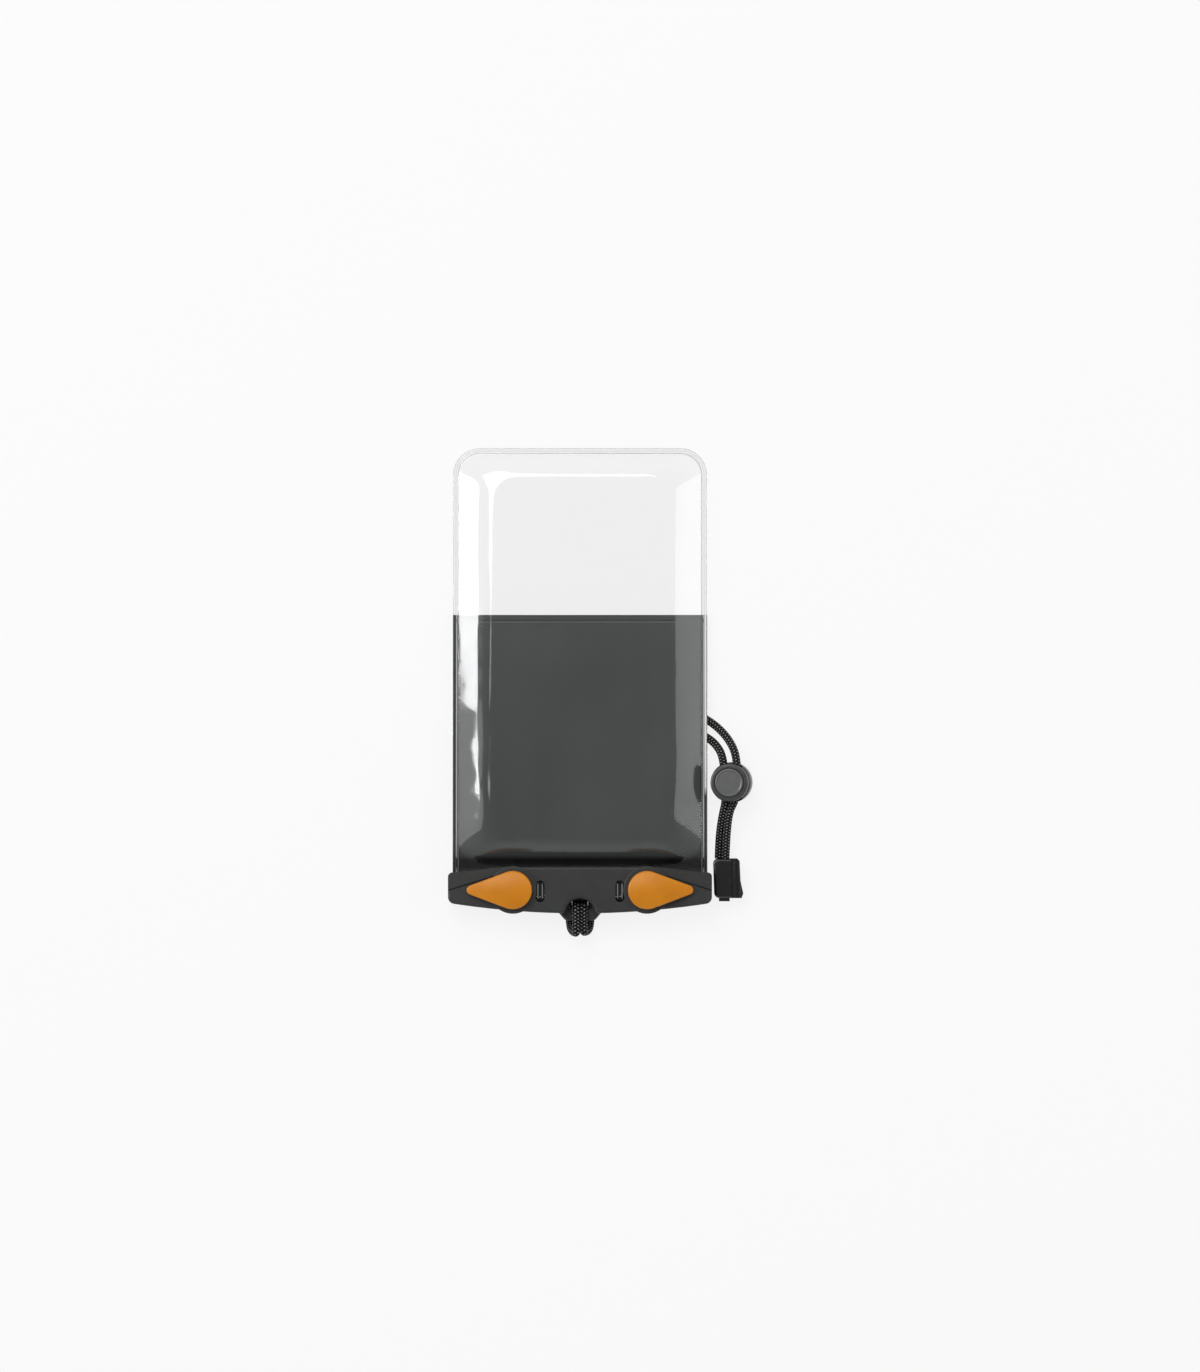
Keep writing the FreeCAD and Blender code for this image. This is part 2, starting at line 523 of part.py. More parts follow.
def pouch_window_film():
    """The clear upper back film, whose lower edge tucks behind the dark panel."""
    body = new_body("pouch_window_film")
    edge = f"({FAR_Y} - sizes.window_reach)"
    tuck = f"({edge} - sizes.lap)"
    start, ramp = f"({edge} + sizes.lap_gap)", f"({edge} + sizes.lap_ramp)"
    step = "sizes.film"
    film_strip(body, [
        (tuck, f"{slope_z(tuck)} - 2 * {step}"), (edge, f"{slope_z(edge)} - 2 * {step}"),
        (ramp, f"{slope_z(ramp)} - {step}"), (FAR_Y, f"{slope_z(FAR_Y)} - {step}"), (FAR_Y, slope_z(FAR_Y)),
        (start, slope_z(start)), (start, f"{slope_z(start)} - {step}"),
        (tuck, f"{slope_z(tuck)} - {step}")])
    round_far_corners(body)
    return body


def pouch_back_panel():
    """The dark lower back film, from its lip in the clip to the lap on the window."""
    body = new_body("pouch_back_panel")
    edge = f"({FAR_Y} - sizes.window_reach)"
    film_strip(body, [(LIP_Y, f"{SPLIT_Z} - sizes.film"), (MOUTH_Y, f"{SPLIT_Z} - sizes.film"),
                      (edge, f"{slope_z(edge)} - sizes.film"), (edge, slope_z(edge)),
                      (MOUTH_Y, SPLIT_Z), (LIP_Y, SPLIT_Z)])
    lip_holes(body)
    return body


# Cord lock: a sprung plunger in a barrel; both strands pass through a slot across the two.
FLOOR = "sizes.floor_wall"
PLUNGER_Z = "(sizes.floor_wall + sizes.spring_room)"
PASS_LOW = f"({PLUNGER_Z} + sizes.stem_floor)"
PASS_HIGH = f"({PASS_LOW} + sizes.cord + 2 * sizes.passage_gap)"
PASS_HALF = "(sizes.strand_spread + sizes.cord / 2 + sizes.passage_gap)"


def lean(body):
    """Stands a piece of the cord lock at its place on the cord, leaning towards the pouch."""
    body.Placement = FreeCAD.Placement(V(), FreeCAD.Rotation(V(0, -1, 0), value("sizes.lock_lean")))
    body.setExpression("Placement.Rotation.Angle", "sizes.lock_lean")
    body.setExpression("Placement.Base.x", "sizes.lock_x")
    body.setExpression("Placement.Base.y", "sizes.lock_y")
    body.setExpression("Placement.Base.z", "(sizes.barrel_base - sizes.base_chamfer) * sin(sizes.lock_lean)")


def revolve(body, sketch):
    feature = body.newObject("PartDesign::Revolution", f"{sketch.Name}_turn")
    feature.Profile = sketch
    feature.ReferenceAxis = (sketch, ["V_Axis"])
    feature.Angle = 360
    doc.recompute()


def toggle_barrel():
    """The cup of the cord lock, with a slot right across it for the strands."""
    body = new_body("toggle_barrel")
    profile = new_sketch(body, "profile", "XZ_Plane")
    bore, top = "(sizes.bore_radius + sizes.running_gap)", "sizes.barrel_height"
    add_loop(profile, [
        ("0", "0"), ("sizes.barrel_base - sizes.base_chamfer", "0"),
        ("sizes.barrel_base", "sizes.base_chamfer"), ("sizes.barrel_base", "sizes.waist_start"),
        ("sizes.waist", "sizes.waist_height"), ("sizes.waist", f"{top} - sizes.rim_height"),
        ("sizes.barrel_rim", f"{top} - sizes.rim_height + sizes.rim_slope"),
        ("sizes.barrel_rim", f"{top} - sizes.rim_round", "sizes.rim_round"),
        ("sizes.barrel_rim - sizes.rim_round", top), (f"{bore} + sizes.bore_chamfer", top),
        (bore, f"{top} - sizes.bore_chamfer"), (bore, FLOOR), ("0", FLOOR)])
    revolve(body, profile)
    passage = new_sketch(body, "passage", "XZ_Plane")
    add_slot(passage, "0", f"(({PASS_LOW} + {PASS_HIGH}) / 2)", PASS_HALF,
             f"(({PASS_HIGH} - {PASS_LOW}) / 2)")
    pocket(body, passage, "4 * sizes.barrel_base", midplane=True)
    lean(body)
    return body


def toggle_plunger():
    """The button and its stem in one piece; its slot is taller by the travel."""
    body = new_body("toggle_plunger")
    profile = new_sketch(body, "profile", "XZ_Plane")
    top = "(sizes.barrel_height + sizes.button_proud)"
    dish = f"{top} - sizes.button_dish"
    add_loop(profile, [
        ("0", PLUNGER_Z), ("sizes.bore_radius - sizes.stem_chamfer", PLUNGER_Z),
        ("sizes.bore_radius", f"{PLUNGER_Z} + sizes.stem_chamfer"),
        ("sizes.bore_radius", f"{top} - sizes.button_round", "sizes.button_round"),
        ("sizes.bore_radius - sizes.button_round", top), ("sizes.bore_radius - sizes.dish_start", dish),
        ("0", dish)])
    revolve(body, profile)
    passage = new_sketch(body, "passage", "XZ_Plane")
    add_box(passage, f"-{PASS_HALF}", PASS_LOW, PASS_HALF, f"{PASS_HIGH} + sizes.press")
    pocket(body, passage, "4 * sizes.barrel_base", midplane=True)
    lean(body)
    return body


def toggle_spring():
    """The coil spring under the plunger."""
    body = new_body("toggle_spring")
    wire = new_sketch(body, "wire", "XZ_Plane")
    add_circle(wire, "sizes.coil_radius", f"{FLOOR} + sizes.spring_gap + sizes.wire / 2", "sizes.wire / 2")
    coil = body.newObject("PartDesign::AdditiveHelix", "toggle_spring_coil")
    coil.Profile = wire
    coil.ReferenceAxis = (wire, ["V_Axis"])
    coil.Mode = 2
    coil.setExpression("Turns", "sizes.coil_turns")
    coil.setExpression("Height", "sizes.spring_room - 2 * sizes.spring_gap - sizes.wire")
    doc.recompute()
    lean(body)
    return body


END_LOW = "(sizes.end_top - sizes.end_length)"


def cord_end_left_half():
    """The smooth half of the cord end, with the tongue that shows below."""
    body = new_body("cord_end_left_half")
    outline = new_sketch(body, "outline", "XY_Plane")
    high = "(sizes.end_parting - sizes.end_gap)"
    add_loop(outline, [("sizes.end_left + sizes.end_draft", END_LOW), (high, END_LOW),
                       (high, "sizes.end_top"), ("sizes.end_left", "sizes.end_top")])
    pad(body, outline, "sizes.end_thickness")
    left, tall = value("sizes.end_left"), value("sizes.end_thickness")
    dress(body, "Fillet", "sizes.end_corner",
          lambda edge: upright(edge) and edge.BoundBox.XMax < left + 2 * value("sizes.end_draft"))
    dress(body, "Fillet", "sizes.end_edge", lambda edge: (level(edge, tall) or level(edge, 0))
          and edge.BoundBox.XMin < value(high) - value("sizes.end_edge"))
    tab = new_sketch(body, "tab", "XY_Plane", "sizes.tab_height")
    add_box(tab, "sizes.end_left + sizes.tab_inset", f"{END_LOW} - sizes.end_tab",
            "sizes.end_parting - sizes.end_draft", f"{END_LOW} + sizes.tab_root")
    pad(body, tab, "sizes.end_thickness - 2 * sizes.tab_height")
    return body


def cord_end_right_half():
    """The ribbed half of the cord end, which flares towards its lower end."""
    body = new_body("cord_end_right_half")
    outline = new_sketch(body, "outline", "XY_Plane")
    low, right = "(sizes.end_parting + sizes.end_gap)", "sizes.end_right"
    rib_top = "(sizes.end_top - sizes.end_chamfer)"
    add_loop(outline, [(low, END_LOW), (f"{right} + sizes.foot_flare", END_LOW),
                       (f"{right} + sizes.end_flare", f"{END_LOW} + sizes.flare_height"),
                       (right, f"{END_LOW} + sizes.flare_start"), (right, rib_top),
                       (f"{right} - sizes.end_chamfer", "sizes.end_top"), (low, "sizes.end_top")])
    pad(body, outline, "sizes.end_thickness - sizes.rib_rise")
    rib_floor = "(sizes.end_thickness - sizes.rib_rise - sizes.rib_round)"
    ribs = new_sketch(body, "ribs", "XY_Plane", rib_floor)
    for start, splay in (("sizes.rib_first", "0"), ("sizes.rib_second", "sizes.rib_splay")):
        near = f"{low} + {start}"
        add_loop(ribs, [(f"{near} + {splay}", END_LOW),
                        (f"{near} + {splay} + sizes.rib_width", END_LOW),
                        (f"{near} + sizes.rib_width", rib_top), (near, rib_top)])
    pad(body, ribs, "sizes.rib_rise + sizes.rib_round")
    tall = value("sizes.end_thickness")
    dress(body, "Fillet", "sizes.rib_round", lambda edge: level(edge, tall))
    return body


def tube(label, points):
    """A plain cord: straight runs joined by tangent arcs, swept with a circle."""
    places = [V(*point) for point in points]
    edges, start, tightest = [], places[0], 1e9
    for before, corner, after in zip(places, places[1:], places[2:]):
        incoming, outgoing = corner - before, after - corner
        turn = incoming.getAngle(outgoing)
        reach = 0.45 * min(incoming.Length, outgoing.Length)
        radius = reach / math.tan(turn / 2)
        tightest = min(tightest, radius)
        enter = corner - incoming.normalize() * reach
        leave = corner + outgoing.normalize() * reach
        inward = ((enter + leave) / 2 - corner).normalize()
        through = corner + inward * (radius / math.cos(turn / 2) - radius)
        edges += [Part.LineSegment(start, enter).toShape(), Part.Arc(enter, through, leave).toShape()]
        start = leave
    edges.append(Part.LineSegment(start, places[-1]).toShape())
    path = Part.Wire(edges)
    circle = Part.Circle(places[0], places[1] - places[0], value("sizes.cord") / 2).toShape()
    solid = path.makePipeShell([Part.Wire([circle])], True, False, 2)
    expected = math.pi * (value("sizes.cord") / 2) ** 2 * path.Length
    print(f"{label}: length {path.Length:.1f}, tightest radius {tightest:.2f}, "
          f"volume {solid.Volume / expected:.4f} of section times length")
    feature = doc.addObject("Part::Feature", label)
    feature.Label = label
    feature.Shape = solid
    return feature


# The lanyard's two strands, from the middle of the hitch's bight to the cord end. They go round
# the lug's bar and up through its eye, along the relief under the clip, lie folded under the
# pouch, and come out at its side.
OUTER_ROUTE = [
    (0, -88.3, 1.8), (-4.2, -88.3, 1.8), (-7.5, -91.6, 1.8), (-7.0, -96.6, 1.8), (-4.9, -101.8, 2.3),
    (-3.9, -106.3, 4.6), (-1.95, -106.2, 12.2), (-2.3, -95.6, 12.0), (-2.2, -95.6, 5.4),
    (-2.1, -85.2, 5.5), (-2.3, -75.5, 2.9), (-4.6, -66.0, 1.8), (-12.5, -58.4, 1.8), (-23.6, -51.6, 1.8),
    (-33.6, -43.2, 1.8), (-38.1, -31.5, 1.8), (-38.2, -18.0, 1.8), (-37.8, -3.8, 1.8), (-27.6, 7.1, 1.8),
    (-12.5, 7.0, 1.8), (-1.8, -3.6, 1.8), (-1.6, -18.5, 1.8), (-2.4, -33.5, 1.8), (-1.7, -48.0, 1.8),
    (6.2, -55.9, 1.8), (17.8, -56.0, 1.8), (25.7, -47.9, 1.8), (25.6, -35.0, 1.8), (29.0, -22.6, 1.8),
    (37.2, -13.2, 1.8), (48.4, -12.0, 1.8), (57.8, -17.0, 3.2), (64.4, -24.0, 5.9), (67.6, -31.8, 8.7),
    (67.6, -53.4, 8.7), (64.4, -61.3, 7.2), (62.9, -69.0, 5.2), (62.9, -75.0, 5.2)]
INNER_ROUTE = [
    (0, -88.3, 1.8), (4.2, -88.3, 1.8), (7.5, -91.6, 1.8), (7.0, -96.6, 1.8), (4.9, -101.8, 2.3),
    (3.9, -106.3, 4.6), (1.95, -106.2, 12.2), (2.3, -95.6, 12.0), (2.2, -95.6, 5.4),
    (2.1, -85.2, 5.5), (1.9, -75.0, 2.9), (-0.9, -63.6, 1.8), (-9.6, -54.8, 1.8), (-20.8, -48.2, 1.8),
    (-29.8, -40.6, 1.8), (-33.9, -30.6, 1.8), (-33.8, -18.0, 1.8), (-33.6, -5.6, 1.8), (-25.8, 2.8, 1.8),
    (-14.2, 2.8, 1.8), (-6.1, -5.3, 1.8), (-5.9, -19.0, 1.8), (-6.7, -34.0, 1.8), (-6.0, -49.8, 1.8),
    (4.4, -60.2, 1.8), (19.6, -60.3, 1.8), (30.0, -49.7, 1.8), (30.1, -36.6, 1.8), (34.2, -27.0, 1.8),
    (43.0, -21.2, 1.8), (51.4, -21.0, 2.6), (58.2, -25.2, 5.1), (61.9, -31.8, 7.9),
    (61.9, -53.4, 7.9), (60.1, -61.3, 6.5), (59.3, -69.0, 4.6), (59.3, -75.0, 4.6)]

nodes = [clip_front_jaw(), clip_back_jaw(), lever("lever_left", "-1", 180), lever("lever_right", "1", 0),
         pouch_front_film(), pouch_window_film(), pouch_back_panel(),
         toggle_barrel(), toggle_plunger(), toggle_spring(), cord_end_left_half(), cord_end_right_half(),
         tube("lanyard_outer_strand", OUTER_ROUTE), tube("lanyard_inner_strand", INNER_ROUTE)]
doc.recompute()

for item in doc.Objects:
    if "Invalid" in item.State or "Error" in item.State:
        raise RuntimeError(f"{item.Name} failed: {item.State}")
for node in nodes:
    if node.Shape.isNull() or not node.Shape.isValid() or not node.Shape.Solids:
        raise RuntimeError(f"{node.Label} has no valid solid")
for node in nodes:
    print(f"{node.Label}: {len(node.Shape.Solids)} solid, {node.Shape.Volume:.1f} mm3")
    node.Shape.exportStep(f"parts/{node.Label}.step")
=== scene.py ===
import math

import bpy
import numpy as np
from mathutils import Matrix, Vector


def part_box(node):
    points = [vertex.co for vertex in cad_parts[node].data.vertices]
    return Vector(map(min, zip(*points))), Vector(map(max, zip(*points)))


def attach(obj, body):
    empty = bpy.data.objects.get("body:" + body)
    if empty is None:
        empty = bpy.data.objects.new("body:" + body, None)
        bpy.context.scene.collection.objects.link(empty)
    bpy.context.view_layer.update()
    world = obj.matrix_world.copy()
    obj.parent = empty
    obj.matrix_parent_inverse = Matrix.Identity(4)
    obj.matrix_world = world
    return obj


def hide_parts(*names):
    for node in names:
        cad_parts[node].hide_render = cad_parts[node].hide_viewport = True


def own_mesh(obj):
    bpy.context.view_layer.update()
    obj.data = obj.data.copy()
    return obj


# Waterproof phone case: a welded film pouch closed by a two-jaw clip with turning levers, and
# hung on a braided neck cord with a sprung cord lock. Everything is in metres.
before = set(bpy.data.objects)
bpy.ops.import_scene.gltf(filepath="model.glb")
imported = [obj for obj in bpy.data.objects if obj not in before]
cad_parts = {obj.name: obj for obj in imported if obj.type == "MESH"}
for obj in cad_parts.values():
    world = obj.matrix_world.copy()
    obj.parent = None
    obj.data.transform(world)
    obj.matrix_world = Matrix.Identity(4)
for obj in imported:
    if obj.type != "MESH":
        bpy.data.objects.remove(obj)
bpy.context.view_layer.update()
MM = 0.001

# Camera. It looks straight down at the case, which lies on its back, through a long lens.
# The picture is 1200 by 1372, so the sensor's width goes with the picture's height.
picture_height = 590 * MM
lens, sensor = 180, 36
camera = bpy.data.objects.new("camera", bpy.data.cameras.new("camera"))
bpy.context.scene.collection.objects.link(camera)
camera.data.sensor_fit = "AUTO"
camera.data.sensor_width = sensor
camera.data.lens = lens
case_centre = Vector((8.6 * MM, -0.8 * MM, 8 * MM))
camera.location = case_centre + Vector((0, 0, picture_height * lens / sensor))
camera.data.clip_end = 20
bpy.context.scene.camera = camera


# Lanyard. One braided cord of black polyester, with a painted highlight on every yarn crest and
# painted shade at the yarn edges, hitched to the clip's lug.
# Both strands go round the lug's bar, lie folded under the pouch, and come out through the cord
# lock to the cord end. The braid is eight yarns, four each way round.
cord_diameter = 3.5 * MM
outer_route = [
    (0, -88.3, 1.8), (-3.2, -88.3, 1.8), (-5.4, -91.3, 1.8), (-5.0, -96.6, 1.8), (-4.5, -101.8, 2.3),
    (-3.9, -105.9, 4.6), (-1.7, -107.2, 8.9), (-1.6, -105.7, 12.7), (-1.6, -95.6, 12.6), (-1.6, -95.6, 5.4),
    (-1.7, -85.2, 5.5), (-2.0, -75.5, 2.9), (-4.6, -66.0, 1.8), (-12.5, -58.4, 1.8), (-23.6, -51.6, 1.8),
    (-33.6, -43.2, 1.8), (-38.1, -31.5, 1.8), (-38.2, -18.0, 1.8), (-37.8, -3.8, 1.8), (-27.6, 7.1, 1.8),
    (-12.5, 7.0, 1.8), (-1.8, -3.6, 1.8), (-1.6, -18.5, 1.8), (-2.4, -33.5, 1.8), (-1.7, -48.0, 1.8),
    (6.2, -55.9, 1.8), (17.8, -56.0, 1.8), (25.7, -47.9, 1.8), (25.6, -35.0, 1.8), (29.0, -22.6, 1.8),
    (37.2, -13.2, 1.8), (48.4, -12.0, 1.8), (57.8, -17.0, 3.2), (64.4, -24.0, 5.9), (67.6, -31.8, 8.7),
    (67.4, -45.8, 8.7), (66.5, -50.4, 8.6), (64.2, -54.6, 8.0), (63.0, -64.0, 6.5), (62.6, -75.0, 5.8)]
inner_route = [
    (0, -88.3, 1.8), (3.2, -88.3, 1.8), (5.4, -91.3, 1.8), (5.0, -96.6, 1.8), (4.5, -101.8, 2.3),
    (3.9, -105.9, 4.6), (1.7, -106.8, 7.9), (1.6, -105.5, 11.2), (1.6, -95.6, 11.1), (1.6, -95.6, 5.4),
    (1.7, -85.2, 5.5), (1.7, -75.0, 2.9), (-0.9, -63.6, 1.8), (-9.6, -54.8, 1.8), (-20.8, -48.2, 1.8),
    (-29.8, -40.6, 1.8), (-33.9, -30.6, 1.8), (-33.8, -18.0, 1.8), (-33.6, -5.6, 1.8), (-25.8, 2.8, 1.8),
    (-14.2, 2.8, 1.8), (-6.1, -5.3, 1.8), (-5.9, -19.0, 1.8), (-6.7, -34.0, 1.8), (-6.0, -49.8, 1.8),
    (4.4, -60.2, 1.8), (19.6, -60.3, 1.8), (30.0, -49.7, 1.8), (30.1, -36.6, 1.8), (34.2, -27.0, 1.8),
    (43.0, -21.2, 1.8), (51.4, -21.0, 2.6), (58.2, -25.2, 5.1), (61.9, -31.8, 7.9),
    (62.1, -45.8, 7.9), (62.7, -50.6, 7.7), (61.3, -56.2, 6.4), (59.9, -66.0, 4.2), (59.7, -75.0, 3.8)]


def rgb(hex_colour):
    """A linear colour from an sRGB hex value."""
    parts = [int(hex_colour[i:i + 2], 16) / 255 for i in (0, 2, 4)]
    return [c / 12.92 if c <= 0.04045 else ((c + 0.055) / 1.055) ** 2.4 for c in parts] + [1.0]


def add_node(tree, kind, inputs=None, **settings):
    """Adds a node with its settings; an input takes a value, a socket, or a node for its first output."""
    made = tree.nodes.new(kind)
    for name, setting in settings.items():
        setattr(made, name, setting)
    for name, given in (inputs or {}).items():
        if isinstance(given, bpy.types.Node):
            given = given.outputs[0]
        if isinstance(given, bpy.types.NodeSocket):
            tree.links.new(given, made.inputs[name])
        else:
            made.inputs[name].default_value = given
    return made


def new_material(name):
    """An empty node material, its node tree and its output."""
    material = bpy.data.materials.new(name)
    material.use_nodes = True
    material.node_tree.nodes.clear()
    return material, material.node_tree, add_node(material.node_tree, "ShaderNodeOutputMaterial")


def mesh_object(name, points, faces, smooth=True):
    """An object at the origin with a mesh of its own."""
    mesh = bpy.data.meshes.new(name)
    mesh.from_pydata([tuple(p) for p in points], [], faces)
    mesh.polygons.foreach_set("use_smooth", [smooth] * len(mesh.polygons))
    mesh.update()
    made = bpy.data.objects.new(name, mesh)
    bpy.context.scene.collection.objects.link(made)
    return made


def route_points(name, route, spacing):
    """Evenly spaced points on the smooth NURBS line that has a route's points as its control points."""
    curve = bpy.data.curves.new(name, "CURVE")
    curve.dimensions = "3D"
    curve.resolution_u = 24
    spline = curve.splines.new("NURBS")
    spline.points.add(len(route) - 1)
    for point, place in zip(spline.points, route):
        point.co = (place[0] * MM, place[1] * MM, place[2] * MM, 1)
    spline.order_u = 3
    spline.use_endpoint_u = True
    holder = bpy.data.objects.new(name, curve)
    bpy.context.scene.collection.objects.link(holder)
    bpy.context.view_layer.update()
    line = bpy.data.meshes.new_from_object(holder.evaluated_get(bpy.context.evaluated_depsgraph_get()))
    fine = np.array([vertex.co for vertex in line.vertices])
    bpy.data.objects.remove(holder)
    along = np.concatenate([[0], np.cumsum(np.linalg.norm(np.diff(fine, axis=0), axis=1))])
    stops = np.linspace(0, along[-1], int(along[-1] / spacing) + 1)
    return np.stack([np.interp(stops, along, fine[:, axis]) for axis in range(3)], axis=1), stops


yarns_each_way = 4
crossing_pitch = 1.3 * MM
yarn_relief = 0.14 * MM
ring_corners, ring_spacing = 36, 0.26 * MM


def braid_height(around, along):
    """How proud the braid stands at a place round (in yarns) and along (in crossings) the cord."""
    first, second = around + along, around - along
    over = (np.floor(first) + np.floor(second)) % 2
    across = np.where(over > 0.5, first % 1, second % 1)
    return np.sqrt(np.clip(1 - (2 * across - 1) ** 2, 0, 1))


def braid_cord(name, route):
    """A cord whose surface carries the yarns' relief, with its own UV map: yarns round, crossings along."""
    points, stops = route_points(name, route, ring_spacing)
    tangents = np.gradient(points, axis=0)
    tangents /= np.linalg.norm(tangents, axis=1)[:, None]
    side = np.array([0.0, 0.0, 1.0])
    rings = []
    turns = np.arange(ring_corners) / ring_corners
    angle = turns * math.tau
    for place, tangent, distance in zip(points, tangents, stops):
        side = side - tangent * side.dot(tangent)
        side /= np.linalg.norm(side)
        other = np.cross(tangent, side)
        height = braid_height(turns * yarns_each_way, distance / crossing_pitch)
        radius = cord_diameter / 2 - yarn_relief * (1 - height)
        outward = np.cos(angle)[:, None] * side + np.sin(angle)[:, None] * other
        rings.append(place + radius[:, None] * outward)
    vertices = np.concatenate(rings)
    faces, uvs = [], []
    for ring in range(len(points) - 1):
        for corner in range(ring_corners):
            after = (corner + 1) % ring_corners
            low, high = ring * ring_corners, (ring + 1) * ring_corners
            faces.append((low + corner, low + after, high + after, high + corner))
            for step, stop in ((0, ring), (1, ring), (1, ring + 1), (0, ring + 1)):
                uvs.append(((corner + step) / ring_corners * yarns_each_way, stops[stop] / crossing_pitch))
    faces.append(tuple(reversed(range(ring_corners))))
    faces.append(tuple(range(len(vertices) - ring_corners, len(vertices))))
    uvs += [(0, 0)] * (2 * ring_corners)
    cord = mesh_object(name, vertices, faces)
    layer = cord.data.uv_layers.new(name="braid")
    layer.data.foreach_set("uv", np.array(uvs, dtype=np.float32).ravel())
    return cord, points


def braided_polyester():
    """Woven polyester sheath: soft sheen, black yarns with painted shade at their edges, and a painted
    highlight on every crest.
    """
    material, tree, output = new_material("braided_polyester")
    place = add_node(tree, "ShaderNodeUVMap", uv_map="braid")
    split = add_node(tree, "ShaderNodeSeparateXYZ", {"Vector": place})
    counts, offs = [], []
    for slant in ("ADD", "SUBTRACT"):
        yarn = add_node(tree, "ShaderNodeMath", {0: split.outputs["X"], 1: split.outputs["Y"]},
                        operation=slant)
        counts.append(add_node(tree, "ShaderNodeMath", {0: yarn}, operation="FLOOR"))
        within = add_node(tree, "ShaderNodeMath", {0: yarn}, operation="FRACT")
        centred = add_node(tree, "ShaderNodeMath", {0: within, 1: 0.5}, operation="SUBTRACT")
        offs.append(add_node(tree, "ShaderNodeMath", {0: centred}, operation="ABSOLUTE"))
    total = add_node(tree, "ShaderNodeMath", {0: counts[0], 1: counts[1]}, operation="ADD")
    over = add_node(tree, "ShaderNodeMath", {0: total, 1: 2.0}, operation="FLOORED_MODULO")
    across = add_node(tree, "ShaderNodeMix", {"Factor": over, "A": offs[1], "B": offs[0]})
    along = add_node(tree, "ShaderNodeMix", {"Factor": over, "A": offs[0], "B": offs[1]})
    # Painted shade: each yarn is drawn darker towards its edges, where it dives under its neighbour.
    painted_yarn_shading = add_node(tree, "ShaderNodeMapRange", {"Value": across, "From Min": 0.46, "From Max": 0.2})
    # Painted highlight: a pale dash along the crest of every crossing.
    line = add_node(tree, "ShaderNodeMapRange", {"Value": across, "From Min": 0.17, "From Max": 0.07})
    reach = add_node(tree, "ShaderNodeMapRange", {"Value": along, "From Min": 0.28, "From Max": 0.18})
    yarn_crest_highlight = add_node(tree, "ShaderNodeMath", {0: line, 1: reach}, operation="MULTIPLY")
    black = add_node(tree, "ShaderNodeMix", {"Factor": painted_yarn_shading, "A": rgb("020203"), "B": rgb("0c0c0d")},
                     data_type="RGBA")
    colour = add_node(tree, "ShaderNodeMix", {"Factor": yarn_crest_highlight, "A": black.outputs[2], "B": rgb("9e9e9a")},
                      data_type="RGBA")
    fibres = add_node(tree, "ShaderNodeTexNoise", {"Vector": place, "Scale": 6.0, "Detail": 3.0})
    bump = add_node(tree, "ShaderNodeBump", {"Height": fibres, "Strength": 0.4, "Distance": 0.05 * MM})
    surface = add_node(tree, "ShaderNodeBsdfPrincipled", {
        "Base Color": colour.outputs[2], "Roughness": 0.7, "Specular IOR Level": 0.15, "Sheen Weight": 0.02,
        "Sheen Roughness": 0.4, "Normal": bump})
    tree.links.new(surface.outputs[0], output.inputs[0])
    return material


cord_finish = braided_polyester()
for node, route, on_it in (
        ("lanyard_outer_strand", outer_route, ["toggle_barrel", "cord_end_right_half"]),
        ("lanyard_inner_strand", inner_route, ["cord_end_left_half"])):
    cord, line = braid_cord(f"braided_{node}", route)
    cord.data.materials.append(cord_finish)
    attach(cord, "case")
    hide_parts(node)


# Clip jaws. Two long halves of glass-filled polyamide, moulded in charcoal with a fine spark-eroded
# texture. The back half carries the pegs, the boss rings and the lug; the front half locks on it.
def textured_polyamide():
    """Matte moulded plastic with a fine even grain, drawn coarser than real, at 2.6 a mm, to show."""
    material, tree, output = new_material("textured_polyamide")
    place = add_node(tree, "ShaderNodeTexCoord").outputs["Object"]
    grain = add_node(tree, "ShaderNodeTexNoise", {"Vector": place, "Scale": 2.6 / MM, "Detail": 4.0,
                                                  "Roughness": 0.6})
    cloud = add_node(tree, "ShaderNodeTexNoise", {"Vector": place, "Scale": 0.09 / MM, "Detail": 3.0})
    shade = add_node(tree, "ShaderNodeMath", {0: cloud, 1: grain}, operation="ADD")
    level = add_node(tree, "ShaderNodeMapRange", {"Value": shade, "From Min": 0.7, "From Max": 1.3})
    colour = add_node(tree, "ShaderNodeMix", {"Factor": level, "A": rgb("181a18"), "B": rgb("262927")},
                      data_type="RGBA")
    rough = add_node(tree, "ShaderNodeMapRange", {"Value": grain, "From Min": 0.3, "From Max": 0.7,
                                                  "To Min": 0.42, "To Max": 0.58})
    bump = add_node(tree, "ShaderNodeBump", {"Height": grain, "Strength": 0.5, "Distance": 0.12 * MM})
    surface = add_node(tree, "ShaderNodeBsdfPrincipled", {
        "Base Color": colour.outputs[2], "Roughness": rough, "Normal": bump})
    tree.links.new(surface.outputs[0], output.inputs[0])
    return material


def finish_node(name, material):
    """Gives a node of the frame its material."""
    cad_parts[name].data.materials.clear()
    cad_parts[name].data.materials.append(material)


def line_along(tree, measure, middle, far, near, strength=1.0):
    """A painted line where a measure is at its middle: full up to near from it, and gone at far."""
    off = add_node(tree, "ShaderNodeMath", {0: measure, 1: middle}, operation="SUBTRACT")
    away = add_node(tree, "ShaderNodeMath", {0: off}, operation="ABSOLUTE")
    return add_node(tree, "ShaderNodeMapRange", {"Value": away, "From Min": far, "From Max": near,
                                                 "To Max": strength})


plate_top = 9.05 * MM
pegs_aside, pegs_y, prongs_aside = 17.1 * MM, -88.8 * MM, 0.95 * MM


